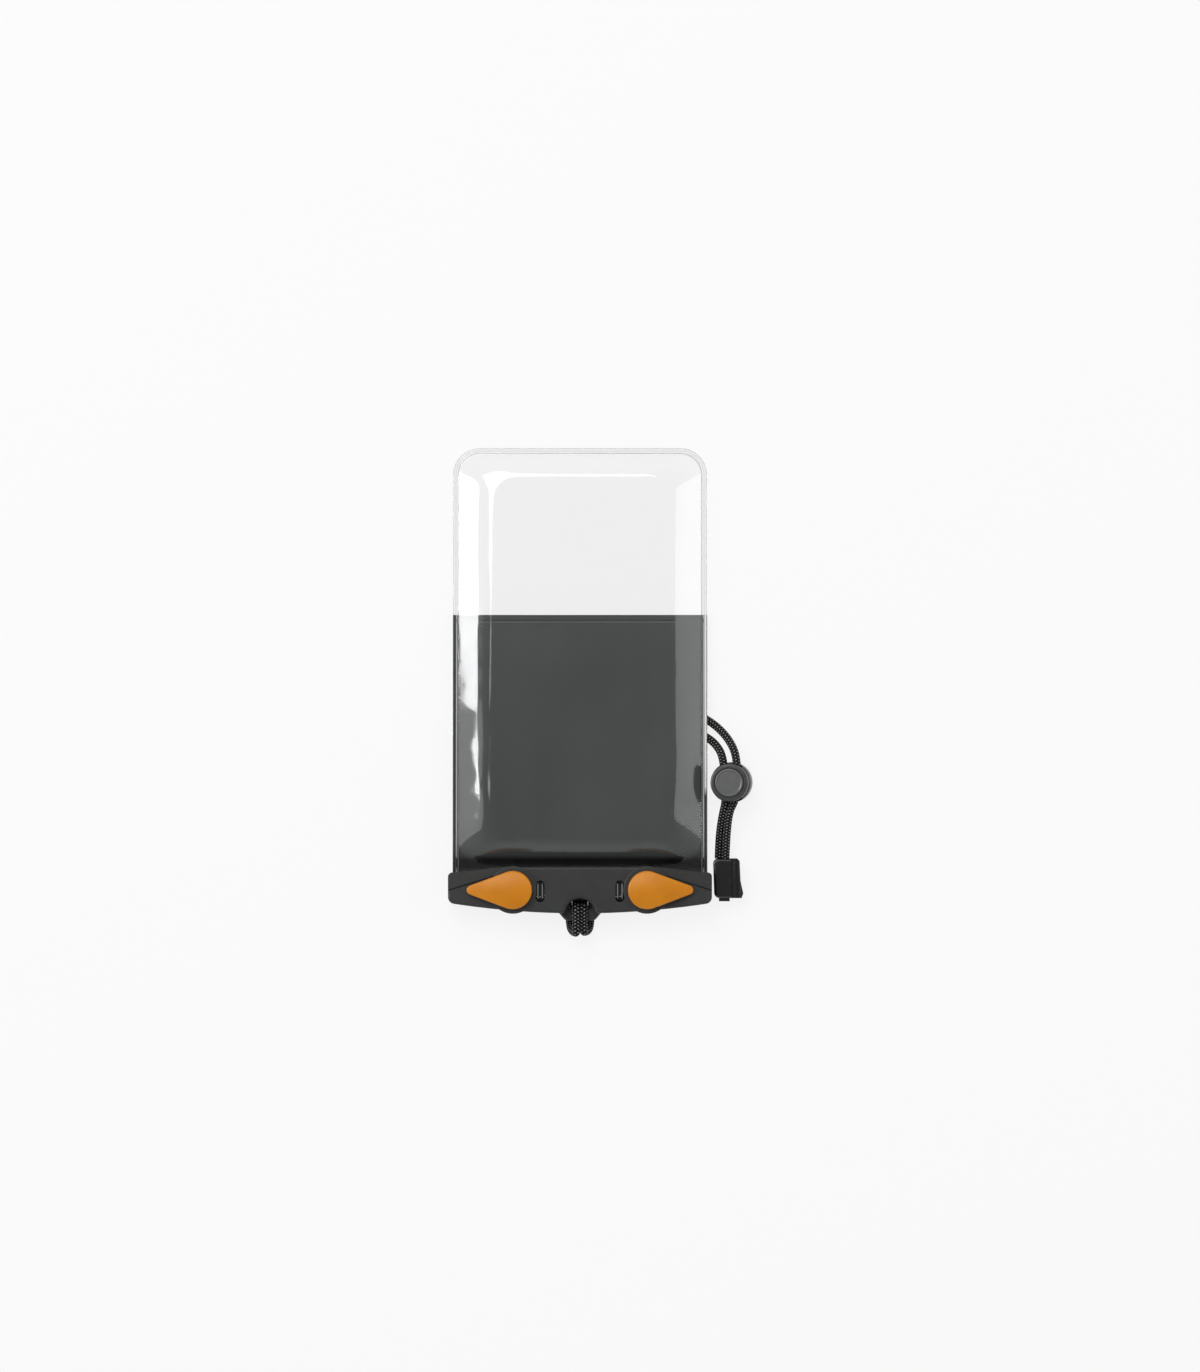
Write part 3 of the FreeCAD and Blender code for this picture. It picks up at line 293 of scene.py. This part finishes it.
def polished_pegs():
    """The pegs' skin: black and glossy, with a painted highlight along the crest of each prong."""
    material, tree, output = new_material("polished_pegs")
    place = add_node(tree, "ShaderNodeTexCoord").outputs["Object"]
    split = add_node(tree, "ShaderNodeSeparateXYZ", {"Vector": place})
    aside = add_node(tree, "ShaderNodeMath", {0: split.outputs["X"]}, operation="ABSOLUTE")
    off = add_node(tree, "ShaderNodeMath", {0: aside, 1: pegs_aside}, operation="SUBTRACT")
    from_slit = add_node(tree, "ShaderNodeMath", {0: off}, operation="ABSOLUTE")
    # Painted highlight: a bright line along each prong's crest, where the glossy black catches the lamp.
    crest = line_along(tree, from_slit, prongs_aside, 0.3 * MM, 0.12 * MM)
    reach = line_along(tree, split.outputs["Y"], pegs_y, 3.6 * MM, 2.6 * MM)
    prong_crest_highlight = add_node(tree, "ShaderNodeMath", {0: crest, 1: reach}, operation="MULTIPLY")
    scuff = add_node(tree, "ShaderNodeTexNoise", {"Vector": place, "Scale": 0.9 / MM, "Detail": 2.0})
    rough = add_node(tree, "ShaderNodeMapRange", {"Value": scuff, "To Min": 0.2, "To Max": 0.4})
    colour = add_node(tree, "ShaderNodeMix", {"Factor": prong_crest_highlight, "A": rgb("050606"), "B": rgb("8f918f")},
                      data_type="RGBA")
    surface = add_node(tree, "ShaderNodeBsdfPrincipled", {
        "Base Color": colour.outputs[2], "Roughness": rough, "Specular IOR Level": 0.25})
    tree.links.new(surface.outputs[0], output.inputs[0])
    return material


polyamide = textured_polyamide()
finish_node("clip_front_jaw", polyamide)
finish_node("clip_back_jaw", polyamide)
back_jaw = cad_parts["clip_back_jaw"].data
back_jaw.materials.append(polished_pegs())
for face in back_jaw.polygons:
    face.material_index = int(face.center.z > plate_top)


# Pouch. Two films of flexible polyurethane, high-frequency welded along both sides and the far end.
# The front film is formed to stand over what the pouch holds, and the upper back film is a window.
film = 0.45 * MM
skin = film - 0.03 * MM
half_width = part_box("pouch_front_film")[1].x
lip_y, far_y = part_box("pouch_front_film")[0].y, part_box("pouch_front_film")[1].y
mouth_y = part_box("clip_front_jaw")[1].y
split_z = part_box("pouch_back_panel")[1].z
corner_radius = 11.5 * MM
slope = math.atan((split_z - film) / (far_y - mouth_y))
weld, end_weld = 2.4 * MM, 2.9 * MM
pocket_rise = 7.6 * MM
side_run, end_run, mouth_run, mouth_start = 12.5 * MM, 8.0 * MM, 10.0 * MM, 1.6 * MM
flat_from = 1.3
side_steps = [0.2] * 16 + [0.3, 0.4, 0.5, 0.7, 0.9] + [1.1] * 12 + [1.5]
end_steps, hem_steps = [0.25] * 50 + [0.5] * 12 + [2.0], [0.2] * 18 + [2.0]


def spread(length, steps):
    """Places along a length that start close together, at the given steps, and end evenly spaced."""
    places = [0.0]
    for step in steps:
        places.append(places[-1] + step * MM)
    even = max(2, int((length - places[-1]) / (steps[-1] * MM)))
    return np.concatenate([places, np.linspace(places[-1], length, even + 1)[1:]])


def film_places(near_y, end_y, steps, rounded):
    """A film's grid of places in plan, its distance from the edge, and its faces."""
    from_edge = spread(half_width, side_steps)
    across = np.concatenate([from_edge - half_width, -(from_edge - half_width)[::-1][1:]]) / half_width
    down = end_y - spread(end_y - near_y, steps)[::-1]
    inset = np.clip(down - (end_y - corner_radius), 0, corner_radius) if rounded else down * 0
    width = half_width - corner_radius + np.sqrt(np.clip(corner_radius ** 2 - inset ** 2, 0, None))
    x = across[None, :] * width[:, None]
    y = np.repeat(down[:, None], len(across), axis=1)
    aside, ahead = half_width - np.abs(x), end_y - y
    edge = np.minimum(aside, ahead) if rounded else aside
    in_corner = (aside < corner_radius) & (ahead < corner_radius) & rounded
    to_centre = np.hypot(corner_radius - aside, corner_radius - ahead)
    edge = np.where(in_corner, corner_radius - to_centre, edge)
    rows, columns = x.shape
    faces = [(r * columns + c, r * columns + c + 1, (r + 1) * columns + c + 1, (r + 1) * columns + c)
             for r in range(rows - 1) for c in range(columns - 1)]
    return x, y, np.maximum(edge, 0), faces


def raised_share(x, v):
    """How far the formed front film has risen at a place, from 0 at the weld to 1 on its flat top."""
    round_radius = corner_radius - weld
    end = far_y - mouth_y - end_weld
    aside = (half_width - weld - np.abs(x)) / side_run
    near, far = (v - mouth_start) / mouth_run, (end - v) / end_run
    share = np.minimum(np.minimum(aside, near), far)
    for ahead, run in ((v - end, end_run), (mouth_start - v, mouth_run)):
        a = np.abs(x) - half_width + weld + round_radius
        b = ahead + round_radius
        square, half_linear = side_run ** 2 + run ** 2, side_run * a + run * b
        root = np.sqrt(np.clip(half_linear ** 2 - square * (a ** 2 + b ** 2 - round_radius ** 2), 0, None))
        share_here = (root - half_linear) / square
        in_corner = (a + side_run * share_here > 0) & (b + run * share_here > 0)
        share = np.where(in_corner, np.minimum(share, share_here), share)
    share = np.clip(share / flat_from, 0, 1)
    return np.sin(share * math.pi / 2)


def sloped(x, y, lift):
    """Places on the films' sloping plane, level inside the clip, lifted by a height."""
    v = np.maximum(y - mouth_y, 0)
    return np.stack([x, y + lift * math.sin(slope) * (v > 0), split_z - v * math.tan(slope) + lift], axis=-1)


def film_slack():
    """Geometry nodes: gives a formed film the slow, shallow waves of flexible sheet."""
    tree = bpy.data.node_groups.new("film_slack", "GeometryNodeTree")
    for label, kind in (("Geometry", "Geometry"), ("Wave height", "Float"), ("Sway", "Float"),
                        ("Wave length", "Float"), ("Seed", "Float"), ("Finish", "Material")):
        tree.interface.new_socket(label, in_out="INPUT", socket_type=f"NodeSocket{kind}")
    tree.interface.new_socket("Geometry", in_out="OUTPUT", socket_type="NodeSocketGeometry")
    given = add_node(tree, "NodeGroupInput")
    place = add_node(tree, "GeometryNodeInputPosition")
    free = add_node(tree, "GeometryNodeInputNamedAttribute", {"Name": "freedom"}, data_type="FLOAT")
    scale = add_node(tree, "ShaderNodeMath", {0: 1.0, 1: given.outputs["Wave length"]}, operation="DIVIDE")
    moves = {}
    for axis, amount, later, detail in (("Z", "Wave height", 0.0, 1.0), ("X", "Sway", 7.0, 2.0)):
        seed = add_node(tree, "ShaderNodeMath", {0: given.outputs["Seed"], 1: later}, operation="ADD")
        waves = add_node(tree, "ShaderNodeTexNoise", {"Vector": place, "Scale": scale, "W": seed,
                                                      "Detail": detail}, noise_dimensions="4D")
        centred = add_node(tree, "ShaderNodeMath", {0: waves, 1: 0.5}, operation="SUBTRACT")
        held = add_node(tree, "ShaderNodeMath", {0: given.outputs[amount], 1: free}, operation="MULTIPLY")
        moves[axis] = add_node(tree, "ShaderNodeMath", {0: centred, 1: held}, operation="MULTIPLY")
    lift = add_node(tree, "ShaderNodeCombineXYZ", moves)
    moved = add_node(tree, "GeometryNodeSetPosition", {"Geometry": given.outputs["Geometry"], "Offset": lift})
    real = add_node(tree, "GeometryNodeRealizeInstances", {"Geometry": moved})
    dressed = add_node(tree, "GeometryNodeSetMaterial", {"Geometry": real,
                                                         "Material": given.outputs["Finish"]})
    add_node(tree, "NodeGroupOutput", {"Geometry": dressed})
    return tree


slack = film_slack()


def set_inputs(modifier, values):
    """Sets a node modifier's inputs by their names in its tree."""
    for item in modifier.node_group.interface.items_tree:
        if item.in_out == "INPUT" and item.name in values:
            modifier[item.identifier] = values[item.name]


def bake_nodes(thing):
    """Turns what an object's modifiers give into its plain mesh."""
    bpy.context.view_layer.update()
    graph = bpy.context.evaluated_depsgraph_get()
    thing.data = bpy.data.meshes.new_from_object(thing.evaluated_get(graph), preserve_all_data_layers=True,
                                                 depsgraph=graph)
    thing.modifiers.clear()


def make_film(name, places, edge, end, freedom, faces, material, wave_height, sway, wave_length, seed):
    """A closed sheet of film thickness round a grid of places, with its slack, and in mm its distance
    from the outline (edge), from its far end (end) and from the clip (mouth)."""
    sheet = mesh_object(name, places.reshape(-1, 3), faces)
    mouth = places[..., 1] - mouth_y
    for label, numbers in (("edge", edge / MM), ("end", end / MM), ("mouth", mouth / MM),
                           ("freedom", freedom)):
        attribute = sheet.data.attributes.new(label, "FLOAT", "POINT")
        attribute.data.foreach_set("value", numbers.ravel().astype(np.float32))
    waves = sheet.modifiers.new("slack", "NODES")
    waves.node_group = slack
    set_inputs(waves, {"Wave height": wave_height, "Sway": sway, "Wave length": wave_length, "Seed": seed,
                       "Finish": material})
    wall = sheet.modifiers.new("wall", "SOLIDIFY")
    wall.thickness = skin
    wall.offset = 0
    bake_nodes(sheet)
    return sheet


def clear_polyurethane():
    """Clear glossy film: see-through, mirror-like at low angles, and hazy along its three weld lines."""
    material, tree, output = new_material("clear_polyurethane")
    edge = add_node(tree, "ShaderNodeAttribute", attribute_name="edge").outputs["Fac"]
    lines = 0.0
    for middle, width, strength in ((0.3, 0.3, 0.6), (1.3, 0.25, 0.5), (2.35, 0.35, 0.9)):
        line = line_along(tree, edge, middle, width, 0.0, strength)
        lines = add_node(tree, "ShaderNodeMath", {0: lines, 1: line}, operation="MAXIMUM")
    place = add_node(tree, "ShaderNodeTexCoord").outputs["Object"]
    ripple = add_node(tree, "ShaderNodeTexNoise", {"Vector": place, "Scale": 0.05 / MM, "Detail": 1.0})
    height = add_node(tree, "ShaderNodeMath", {0: ripple, 1: lines}, operation="ADD")
    bump = add_node(tree, "ShaderNodeBump", {"Height": height, "Strength": 0.12, "Distance": 0.2 * MM})
    facing = add_node(tree, "ShaderNodeLayerWeight", {"Blend": 0.5, "Normal": bump}).outputs["Facing"]
    grazing = add_node(tree, "ShaderNodeMath", {0: facing, 1: 5.0}, operation="POWER")
    mirrored = add_node(tree, "ShaderNodeMapRange", {"Value": grazing, "To Min": 0.032, "To Max": 0.9})
    through = add_node(tree, "ShaderNodeBsdfTransparent", {"Color": rgb("ffffff")})
    gloss = add_node(tree, "ShaderNodeBsdfGlossy", {"Roughness": 0.07, "Normal": bump})
    clear = add_node(tree, "ShaderNodeMixShader", {0: mirrored, 1: through, 2: gloss})
    haze = add_node(tree, "ShaderNodeBsdfPrincipled", {"Base Color": rgb("9a9c9d"), "Roughness": 0.3})
    share = add_node(tree, "ShaderNodeMath", {0: lines, 1: 0.22}, operation="MULTIPLY")
    surface = add_node(tree, "ShaderNodeMixShader", {0: share, 1: clear, 2: haze})
    tree.links.new(surface.outputs[0], output.inputs[0])
    return material


def dark_polyurethane():
    """Dark grey glossy film: black weld lines with a pale painted highlight on the bead between them,
    painted wide and white along the upper right, a hem under its top edge, and painted shade at the clip."""
    material, tree, output = new_material("dark_polyurethane")
    place = add_node(tree, "ShaderNodeTexCoord").outputs["Object"]
    stretched = add_node(tree, "ShaderNodeMapping", {"Vector": place, "Scale": (3.0, 0.6, 1.0)})
    tone = add_node(tree, "ShaderNodeTexNoise", {"Vector": stretched, "Scale": 14.0, "Detail": 3.0})
    colour = add_node(tree, "ShaderNodeMix", {"Factor": tone, "A": rgb("26292a"), "B": rgb("3d4140")},
                      data_type="RGBA").outputs[2]
    given = {label: add_node(tree, "ShaderNodeAttribute", attribute_name=label).outputs["Fac"]
             for label in ("edge", "end", "mouth")}
    for label, middle, width, strength, paint in (
            ("edge", 0.6, 1.1, 3.0, "0a0b0c"), ("edge", 2.5, 0.7, 3.0, "0c0d0e"),
            # The pale line at 1.65 mm is a painted highlight on the weld bead.
            ("edge", 1.65, 0.4, 1.3, "b9bab6"), ("end", 2.3, 0.35, 2.5, "0e0f10"),
            # The two mouth lines are painted shade: the film is drawn darker towards the clip, and black
            # right at it.
            ("end", 3.0, 0.3, 0.6, "6f716f"), ("mouth", 0.0, 14.0, 0.6, "0c0d0d"),
            ("mouth", 1.2, 3.2, 2.0, "020202")):
        line = line_along(tree, given[label], middle, width, 0.0, strength)
        held = add_node(tree, "ShaderNodeMath", {0: line, 1: 1.0}, operation="MINIMUM")
        colour = add_node(tree, "ShaderNodeMix", {"Factor": held, "A": colour, "B": rgb(paint)},
                          data_type="RGBA").outputs[2]
    split = add_node(tree, "ShaderNodeSeparateXYZ", {"Vector": place})
    # Painted highlight: along the upper right the bead is painted wide and white.
    bead = line_along(tree, given["edge"], 0.75, 0.6, 0.35)
    for axis, low, high in (("X", 50.0, 52.0), ("Y", -48.0, -44.0)):
        part = add_node(tree, "ShaderNodeMapRange", {"Value": split.outputs[axis], "From Min": low * MM,
                                                     "From Max": high * MM})
        bead = add_node(tree, "ShaderNodeMath", {0: bead, 1: part}, operation="MULTIPLY")
    colour = add_node(tree, "ShaderNodeMix", {"Factor": bead, "A": colour, "B": rgb("f4f4f2")},
                      data_type="RGBA").outputs[2]
    ripple = add_node(tree, "ShaderNodeTexNoise", {"Vector": place, "Scale": 0.06 / MM, "Detail": 1.0})
    bump = add_node(tree, "ShaderNodeBump", {"Height": ripple, "Strength": 0.15, "Distance": 0.2 * MM})
    # Painted shade: the film's gloss is also turned down towards the clip.
    shine = add_node(tree, "ShaderNodeMapRange", {"Value": given["mouth"], "From Min": 2.0, "From Max": 8.0,
                                                  "To Min": 0.0, "To Max": 0.5})
    surface = add_node(tree, "ShaderNodeBsdfPrincipled", {
        "Base Color": colour, "Roughness": 0.3, "Specular IOR Level": shine, "Normal": bump})
    tree.links.new(surface.outputs[0], output.inputs[0])
    return material


clear_film, dark_film = clear_polyurethane(), dark_polyurethane()

# Slack: the films are held at the welds and the clip, and the front one lies calm above slack_from.
held_by_weld, held_by_clip, held_by_lap = 6 * MM, 12 * MM, 6 * MM
slack_from, slack_full, calm = -22 * MM, -44 * MM, 0.35

x, y, edge, faces = film_places(lip_y, far_y, end_steps, rounded=True)
freedom = np.clip((edge - weld) / held_by_weld, 0, 1) * np.clip((y - mouth_y) / held_by_clip, 0, 1)
freedom *= np.interp(y, [slack_full, slack_from], [1.0, calm])
front = sloped(x, y, film / 2 + pocket_rise * raised_share(x, y - mouth_y))
front_film = make_film("formed_front_film", front, edge, far_y - y, freedom, faces, clear_film,
                       wave_height=2.1 * MM, sway=4.5 * MM, wave_length=34 * MM, seed=3.0)

# The window film's near edge is tucked behind the dark panel and welded to it there.
panel_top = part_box("pouch_back_panel")[1].y
lap, tuck_end, tuck_run, window_slack = 2.4 * MM, 0.8 * MM, 0.7 * MM, 0.3
x, y, edge, faces = film_places(panel_top - lap, far_y, end_steps, rounded=True)
tucked = np.clip((panel_top + tuck_end - y) / tuck_run, 0, 1)
freedom = np.clip((edge - weld) / held_by_weld, 0, 1) * (1 - tucked) * window_slack
back = sloped(x, y, -film / 2 - film * tucked)
window = make_film("window_film", back, edge, far_y - y, freedom, faces, clear_film,
                   wave_height=0.9 * MM, sway=0.0, wave_length=34 * MM, seed=8.0)

x, y, edge, faces = film_places(lip_y, panel_top, hem_steps, rounded=False)
freedom = np.clip((edge - weld) / held_by_weld, 0, 1) * np.clip((y - mouth_y) / held_by_clip, 0, 1)
freedom *= np.clip((panel_top - y) / held_by_lap, 0, 1)
dark = sloped(x, y, -film / 2 + 0 * x)
panel = make_film("dark_back_panel", dark, edge, panel_top - y, freedom, faces, dark_film,
                  wave_height=0.8 * MM, sway=0.0, wave_length=40 * MM, seed=5.0)

for sheet, node, slot in ((front_film, "pouch_front_film", "clear_film"),
                          (window, "pouch_window_film", "clear_film"),
                          (panel, "pouch_back_panel", "dark_film")):
    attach(sheet, "case")
    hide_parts(node)


# Levers. Each is one moulding of amber acetal with its shaft and cross foot, satin on its crown.
def amber_acetal():
    """Satin moulded acetal: even amber with a faint flow pattern and a fine orange-peel skin."""
    material, tree, output = new_material("amber_acetal")
    place = add_node(tree, "ShaderNodeTexCoord").outputs["Object"]
    flow = add_node(tree, "ShaderNodeTexNoise", {"Vector": place, "Scale": 0.12 / MM, "Detail": 3.0})
    colour = add_node(tree, "ShaderNodeMix", {"Factor": flow, "A": rgb("cc7904"), "B": rgb("e2900e")},
                      data_type="RGBA")
    peel = add_node(tree, "ShaderNodeTexNoise", {"Vector": place, "Scale": 1.5 / MM, "Detail": 2.0})
    bump = add_node(tree, "ShaderNodeBump", {"Height": peel, "Strength": 0.25, "Distance": 0.06 * MM})
    surface = add_node(tree, "ShaderNodeBsdfPrincipled", {
        "Base Color": colour.outputs[2], "Roughness": 0.38, "Specular IOR Level": 0.35,
        "Subsurface Weight": 0.08, "Subsurface Scale": 1.0 * MM, "Normal": bump})
    tree.links.new(surface.outputs[0], output.inputs[0])
    return material


acetal = amber_acetal()
finish_node("lever_left", acetal)
finish_node("lever_right", acetal)


# Cord lock. A turned-looking barrel and a plunger, both moulded in dark grey nylon with a satin
# skin; the spring under the plunger pinches the two strands. The plunger's button is drawn a lighter
# grey than the barrel as painted light.
def satin_nylon(name, dark, light):
    """Satin moulded nylon: dark grey, finely peeled, with soft broad highlights."""
    material, tree, output = new_material(name)
    place = add_node(tree, "ShaderNodeTexCoord").outputs["Object"]
    cloud = add_node(tree, "ShaderNodeTexNoise", {"Vector": place, "Scale": 0.3 / MM, "Detail": 3.0})
    colour = add_node(tree, "ShaderNodeMix", {"Factor": cloud, "A": rgb(dark), "B": rgb(light)},
                      data_type="RGBA")
    peel = add_node(tree, "ShaderNodeTexNoise", {"Vector": place, "Scale": 1.8 / MM, "Detail": 2.0})
    bump = add_node(tree, "ShaderNodeBump", {"Height": peel, "Strength": 0.25, "Distance": 0.05 * MM})
    surface = add_node(tree, "ShaderNodeBsdfPrincipled", {
        "Base Color": colour.outputs[2], "Roughness": 0.36, "Normal": bump})
    tree.links.new(surface.outputs[0], output.inputs[0])
    return material


def spring_wire():
    """Plain drawn spring steel, bright, with a skin that is a little uneven from the drawing."""
    material, tree, output = new_material("spring_wire")
    place = add_node(tree, "ShaderNodeTexCoord").outputs["Object"]
    draw = add_node(tree, "ShaderNodeTexNoise", {"Vector": place, "Scale": 4.0 / MM, "Detail": 2.0})
    rough = add_node(tree, "ShaderNodeMapRange", {"Value": draw, "To Min": 0.22, "To Max": 0.4})
    surface = add_node(tree, "ShaderNodeBsdfPrincipled", {
        "Base Color": rgb("b4b6b8"), "Metallic": 1.0, "Roughness": rough})
    tree.links.new(surface.outputs[0], output.inputs[0])
    return material


finish_node("toggle_barrel", satin_nylon("satin_nylon_barrel", "2c2e2d", "3c3e3c"))
# Painted light: the button is the same nylon as the barrel, drawn a lighter grey.
finish_node("toggle_plunger", satin_nylon("satin_nylon_button_lit", "505251", "646664"))
coil = bpy.data.objects.new("lock_spring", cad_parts["toggle_spring"].data.copy())
bpy.context.scene.collection.objects.link(coil)
coil.matrix_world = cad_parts["toggle_spring"].matrix_world
coil.data.materials.clear()
coil.data.materials.append(spring_wire())
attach(coil, "case")
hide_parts("toggle_spring")
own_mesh(coil)


# Cord end. Two polished black clamshell halves that close over both strands' ends.
def polished_black():
    """Glossy moulded plastic: near black, with the slight waviness of a polished mould."""
    material, tree, output = new_material("polished_black")
    place = add_node(tree, "ShaderNodeTexCoord").outputs["Object"]
    wave = add_node(tree, "ShaderNodeTexNoise", {"Vector": place, "Scale": 0.4 / MM, "Detail": 2.0})
    rough = add_node(tree, "ShaderNodeMapRange", {"Value": wave, "To Min": 0.14, "To Max": 0.3})
    bump = add_node(tree, "ShaderNodeBump", {"Height": wave, "Strength": 0.15, "Distance": 0.1 * MM})
    surface = add_node(tree, "ShaderNodeBsdfPrincipled", {
        "Base Color": rgb("111312"), "Roughness": rough, "Specular IOR Level": 0.5, "Normal": bump})
    tree.links.new(surface.outputs[0], output.inputs[0])
    return material


gloss_black = polished_black()
finish_node("cord_end_left_half", gloss_black)
finish_node("cord_end_right_half", gloss_black)


# Studio. A white table and backdrop for the eye and for reflections, a large soft lamp overhead, a
# long soft lamp at each side, and a strip at the left whose glare lies along the pouch's left wall.
def white_to_the_eye(tree):
    """1 where the camera, a gloss or a clear film looks, and 0 for the light that falls on the case."""
    path = add_node(tree, "ShaderNodeLightPath")
    seen = path.outputs["Is Camera Ray"]
    for ray in ("Is Glossy Ray", "Is Transmission Ray"):
        seen = add_node(tree, "ShaderNodeMath", {0: seen, 1: path.outputs[ray]}, operation="MAXIMUM")
    return seen


floor_material, tree, output = new_material("white_table")
matte = add_node(tree, "ShaderNodeBsdfDiffuse", {"Color": rgb("f2f2f2")})
white = add_node(tree, "ShaderNodeEmission", {"Color": rgb("ffffff"), "Strength": 1.0})
share = add_node(tree, "ShaderNodeMath", {0: white_to_the_eye(tree), 1: 0.84}, operation="MULTIPLY")
mixed = add_node(tree, "ShaderNodeMixShader", {0: share, 1: matte, 2: white})
tree.links.new(mixed.outputs[0], output.inputs[0])
reach = 6.0
corners = [(-reach, -reach, 0), (reach, -reach, 0), (reach, reach, 0), (-reach, reach, 0)]
floor = mesh_object("table", corners, [(0, 1, 2, 3)], smooth=False)
floor.data.materials.append(floor_material)

# The backdrop is dimmer for the light that falls on the case, and overhead where a gloss mirrors it.
world = bpy.data.worlds.new("studio")
bpy.context.scene.world = world
world.use_nodes = True
tree = world.node_tree
tree.nodes.clear()
strength = add_node(tree, "ShaderNodeMapRange", {"Value": white_to_the_eye(tree), "To Min": 0.4,
                                                 "To Max": 1.0})
aim = add_node(tree, "ShaderNodeTexCoord").outputs["Generated"]
split = add_node(tree, "ShaderNodeSeparateXYZ", {"Vector": aim})
ceiling = add_node(tree, "ShaderNodeMapRange", {"Value": split.outputs["Z"], "From Min": 0.35,
                                                "From Max": 0.9, "To Min": 1.0, "To Max": 0.35})
glossy = add_node(tree, "ShaderNodeLightPath").outputs["Is Glossy Ray"]
mirrored = add_node(tree, "ShaderNodeMix", {"Factor": glossy, "A": strength, "B": ceiling})
sky = add_node(tree, "ShaderNodeBackground", {"Color": rgb("ffffff"), "Strength": mirrored})
add_node(tree, "ShaderNodeOutputWorld", {"Surface": sky})


def soft_lamp(name, place, size, power):
    """A rectangular lamp that faces the middle of the case."""
    lamp = bpy.data.objects.new(name, bpy.data.lights.new(name, "AREA"))
    lamp.data.shape = "RECTANGLE"
    lamp.data.size, lamp.data.size_y = size
    lamp.data.energy = power
    lamp.location = place
    lamp.rotation_mode = "QUATERNION"
    lamp.rotation_quaternion = (Vector(place) - case_centre).to_track_quat("Z", "Y")
    bpy.context.scene.collection.objects.link(lamp)
    return lamp


soft_lamp("overhead_lamp", place=(-0.5, 0.9, 1.6), size=(1.2, 1.2), power=17)
soft_lamp("left_lamp", place=(-1.5, -0.1, 0.55), size=(0.5, 1.6), power=4)
soft_lamp("right_lamp", place=(1.5, 0.2, 0.7), size=(0.5, 1.6), power=4)
glare = soft_lamp("left_strip", place=(-1.44, 0.31, 0.68), size=(0.46, 0.56), power=13)
glare.visible_diffuse = False

bpy.context.scene.view_settings.view_transform = "Standard"
